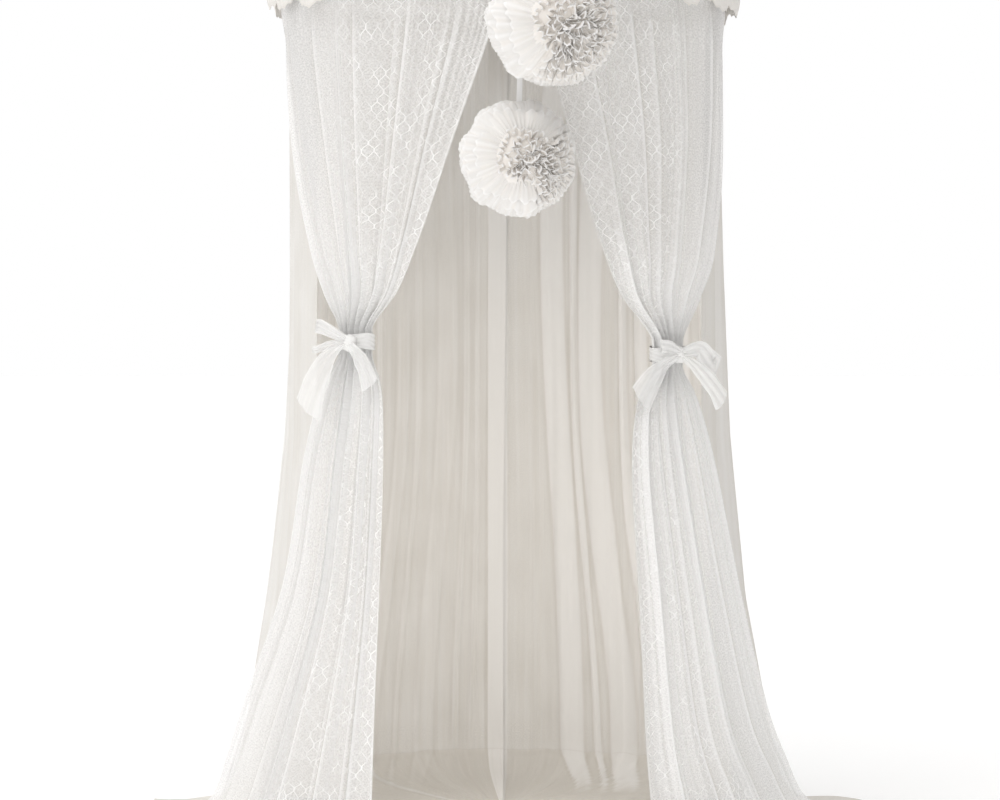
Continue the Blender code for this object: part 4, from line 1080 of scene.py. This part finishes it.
def petal_ball(name, shape, crown, seed, fans, material):
    """Rounds of ruffled tulle on both halves of a ball: small looped ones crowd at the crown and
    wide ones lie behind them as pleated fans."""
    chance = np.random.default_rng(seed)
    builder = bmesh.new()
    for half in (1, -1):
        for i, part in enumerate(ROUNDS):
            across = 380 if part.ruffles > 35 else 10 * part.ruffles + 24
            bmesh.ops.create_grid(builder, x_segments=across, y_segments=9, size=0.5,
                                  matrix=Matrix.Translation((2.0 * (i + BACK_HALF * (half < 0)), 0, 0)))
    mesh = mesh_from(builder, name)
    flat = read_points(mesh)
    number = np.round(flat[:, 0] / 2.0).astype(int)
    share = flat[:, 0] - 2.0 * number + 0.5
    way = flat[:, 1] + 0.5
    back = number >= BACK_HALF
    number = np.where(back, number - BACK_HALF, number)
    table = np.array(ROUNDS, float)[number]
    root, edge, fan, inner, outer, lobes, ruffles, swing, loop = table.T
    shift = chance.uniform(0.0, math.tau, (5, 2, len(ROUNDS)))[:, back.astype(int), number]
    turn = math.tau * share
    wild = 0.35 + 0.85 * smooth_step(-0.7, 0.6, np.cos(turn + 0.7)) + 0.5 * smooth_step(0.6, 1.0, loop)
    calm = calm_side(fans, np.cos(turn + 0.45) + 0.12 * np.sin(5.0 * turn + seed), edge)
    loop = loop * (1.0 - calm)
    edge = edge + calm * (fan - edge)
    wild = wild + (0.95 - wild) * calm
    free = (1.0 - loop) * way**1.6 + loop * smooth_step(0.05, 0.60, way)
    lobe = np.sin(lobes * turn + shift[0]) + 0.4 * np.sin((2 * lobes + 1) * turn + shift[1])
    ruffle = np.sin(ruffles * turn + 1.3 * np.sin(lobes * turn + shift[2]) + shift[3])
    second = np.sin((lobes + 3.0) * turn + shift[4])
    lip = smooth_step(0.84, 1.0, way) * loop
    polar = root + (edge - root) * ((1.0 - loop) * way**1.15 + loop * smooth_step(0.0, 0.7, way))
    broad = (4.4 + 2.0 * calm) * lobe * (1.0 - 0.6 * loop)
    small = (1.0 + 2.2 * loop) * (1.0 + 0.35 * second) * ruffle * wild
    polar = polar + free * (broad + small) + 1.8 * lip
    phase = turn + free * loop * 1.05 / ruffles * np.cos(2.0 * ruffles * turn + 2.0 * shift[3]) * wild
    reach = inner + (outer - inner) * np.sin(way * math.pi / 2)
    small = free * (0.012 + 0.010 * loop) * ruffle * wild
    reach = reach - free * swing * 0.5 * (1.0 + lobe * 0.7) + small - 0.006 * lip
    reach = reach + 0.014 * second * way - 0.02 * (1.0 - way) * np.abs(ruffle)
    outline = 0.026 * (np.sin(7.0 * turn + seed) + 0.7 * np.sin(12.0 * turn + 2.0 * seed)) - 0.008
    reach = reach + outline * free * (1.0 - loop)
    reach = np.minimum(reach, 0.986 + 0.0008 * number) * (1.0 - 0.025 * back) * shape.radius
    polar = np.radians(np.where(back, 180.0 - 0.84 * polar, polar))
    crown = np.array(crown) / np.linalg.norm(crown)
    right = np.cross((0.0, 0.0, 1.0), crown)
    right = right / np.linalg.norm(right)
    up = np.cross(crown, right)
    direction = (np.cos(polar)[:, None] * crown + (np.sin(polar) * np.cos(phase))[:, None] * right
                 + (np.sin(polar) * np.sin(phase))[:, None] * up)
    middle = pompom_middle(shape)
    place = np.array(middle) + direction * reach[:, None]
    mesh.vertices.foreach_set("co", place.ravel())
    cut = np.stack([share * PETAL_CUT[0] * ruffles, way * PETAL_CUT[1]], axis=1)
    # The free edges and roots are drawn closer, which the tone paints lighter: denser net and partly
    # painted highlight on the rims.
    close = 1.0 + (1.0 + 0.7 * loop) * smooth_step(0.90, 1.0, way) + 1.2 * smooth_step(0.5, 0.0, way)
    # Painted shade: deep in the looped cavities at the crown, near the roots of the fans and in the troughs
    # of their pleats.
    deep = loop * 0.9 * (1.0 - smooth_step(0.60, 0.92, way))
    deep = deep + 0.35 * (1.0 - loop) * smooth_step(0.5, 0.0, way)
    deep = deep + 0.50 * (1.0 - loop) * free * smooth_step(0.3, -0.9, ruffle)
    write_cloth(mesh, cut, close, deep)
    builder = merged(mesh)
    heart = bmesh.ops.create_icosphere(builder, subdivisions=4, radius=shape.radius * HEART_SHARE,
                                       matrix=Matrix.Translation(middle))
    for vert in heart["verts"]:
        offset = vert.co - middle
        lump = math.sin(140 * vert.co.x) + math.sin(150 * vert.co.y + 1.0) + math.sin(130 * vert.co.z + 2.0)
        off_crown = math.degrees(offset.angle(Vector(crown)))
        around_crown = math.atan2(offset.dot(Vector(up)), offset.dot(Vector(right)))
        open_side = 1.0 - calm_side(fans, math.cos(around_crown + 0.45), off_crown)
        swell = 0.028 + 0.032 * open_side
        off_axis = min(off_crown, 180.0 - off_crown)
        dimple = 1.0 + swell * math.exp(-((off_axis / (48.0 + 22.0 * open_side)) ** 4))
        vert.co = middle + offset * dimple * (1.0 + 0.015 * lump)
    # The heart is drawn dense and carries painted shade, strongest under the crown.
    layer, painted_shade_layer = builder.verts.layers.float["close"], builder.verts.layers.float["deep"]
    for vert in heart["verts"]:
        vert[layer] = HEART_CLOSE
        off_crown = math.degrees((vert.co - middle).angle(Vector(crown)))
        vert[painted_shade_layer] = math.exp(-((off_crown / 42.0) ** 4))
    builder.to_mesh(mesh)
    builder.free()
    mesh.materials.append(material)
    mesh.shade_smooth()
    return add_object(name, mesh)


# The pompom tulle's inner colour is a warm painted shade for the gaps between its ruffles.
pompom_tulle = tulle_material("pompom_tulle", (0.98, 0.97, 0.96, 1.0), (0.84, 0.82, 0.795, 1.0), 1.0,
                              9.0, 0.0,
                              inner=(0.92, 0.86, 0.79, 1.0), painted_shade_strength=0.70, streaks=2.4)
POMPOM_FANS = {"upper": 0.42, "lower": 0.95}
POMPOM_CROWNS = {"upper": (0.20, -1.0, -0.10), "lower": (0.12, -1.0, 0.02)}
for seed, (level_name, shape) in enumerate(POMPOMS.items()):
    ball = petal_ball("ruffled_pompom_" + level_name, shape, POMPOM_CROWNS[level_name], 11 + seed,
                      POMPOM_FANS[level_name], pompom_tulle)
    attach(ball, "root")
    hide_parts("pompom_" + level_name)

# Pompom ribbons.
# Narrow smooth ribbons, one sewn under the hoop at the middle of the front and one over it,
# each knotted into the heart of its pompom.
RIBBON_WIDTH = 0.010
RIBBON_GRID = (4, 60)
ribbon_thread, nodes = start_material("smooth_ribbon")
rib = nodes.add("ShaderNodeTexWave", {"Vector": nodes.uv(), "Scale": 160.0, "Distortion": 0.6},
                wave_type="BANDS", bands_direction="X").outputs[1]
nodes.finish({"Base Color": nodes.mix(rib, (0.98, 0.975, 0.97, 1.0), (1.0, 1.0, 0.995, 1.0)),
              "Normal": nodes.bump(rib, 0.25, 0.0003), "Roughness": 0.45, "Sheen Weight": 0.2})


def ribbon_shape(points, toward):
    sideways = Vector((1, 0, 0))
    half = np.array((sideways - toward * toward.dot(sideways)).normalized() * (RIBBON_WIDTH / 2))
    table = np.array([tuple(point) for point in points])
    marks = marks_along(points)

    def shape(share, way):
        run = way * marks[-1]
        point = np.stack([np.interp(run, marks, table[:, k]) for k in range(3)], axis=1)
        side = 2.0 * share - 1.0
        bow = 0.0006 * (1.0 - side * side) + 0.0004 * np.sin(50.0 * run) * side
        place = point + half * side[:, None] + np.array((0.0, -1.0, 0.0)) * bow[:, None]
        return place, np.stack([share * RIBBON_WIDTH, run], axis=1), 0 * way

    return shape, marks[-1]


lower, upper = pompom_middle(POMPOMS["lower"]), pompom_middle(POMPOMS["upper"])
under_hoop = Vector(around(np.array([4.6]), HOOP_RADIUS, HOOP_HEIGHT - HOOP_WIRE - SEAM_GAP)[0])
above_hoop = Vector(around(np.array([7.5]), HOOP_RADIUS - 0.012, HOOP_HEIGHT + 0.0186)[0])
over_frill = Vector(around(np.array([8.5]), HOOP_RADIUS + 0.030, HOOP_HEIGHT + 0.026)[0])
to_hoop = (under_hoop - lower).normalized()
to_frill = (over_frill - upper).normalized()
lower_way = [under_hoop, under_hoop + Vector((-0.001, -0.012, -0.07)),
             lower + to_hoop * (POMPOMS["lower"].radius * 1.15),
             lower + to_hoop * (POMPOMS["lower"].radius * KNOT_SHARE)]
upper_way = [above_hoop, over_frill, upper + to_frill * (POMPOMS["upper"].radius * KNOT_SHARE)]
for level_name, points, toward in (("lower", lower_way, to_hoop), ("upper", upper_way, to_frill)):
    shape, length = ribbon_shape(points, toward)
    ribbon = hang_cloth("pompom_ribbon_" + level_name, RIBBON_GRID, shape, ribbon_thread)
    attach(ribbon, "root")
    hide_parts("ribbon_" + level_name)
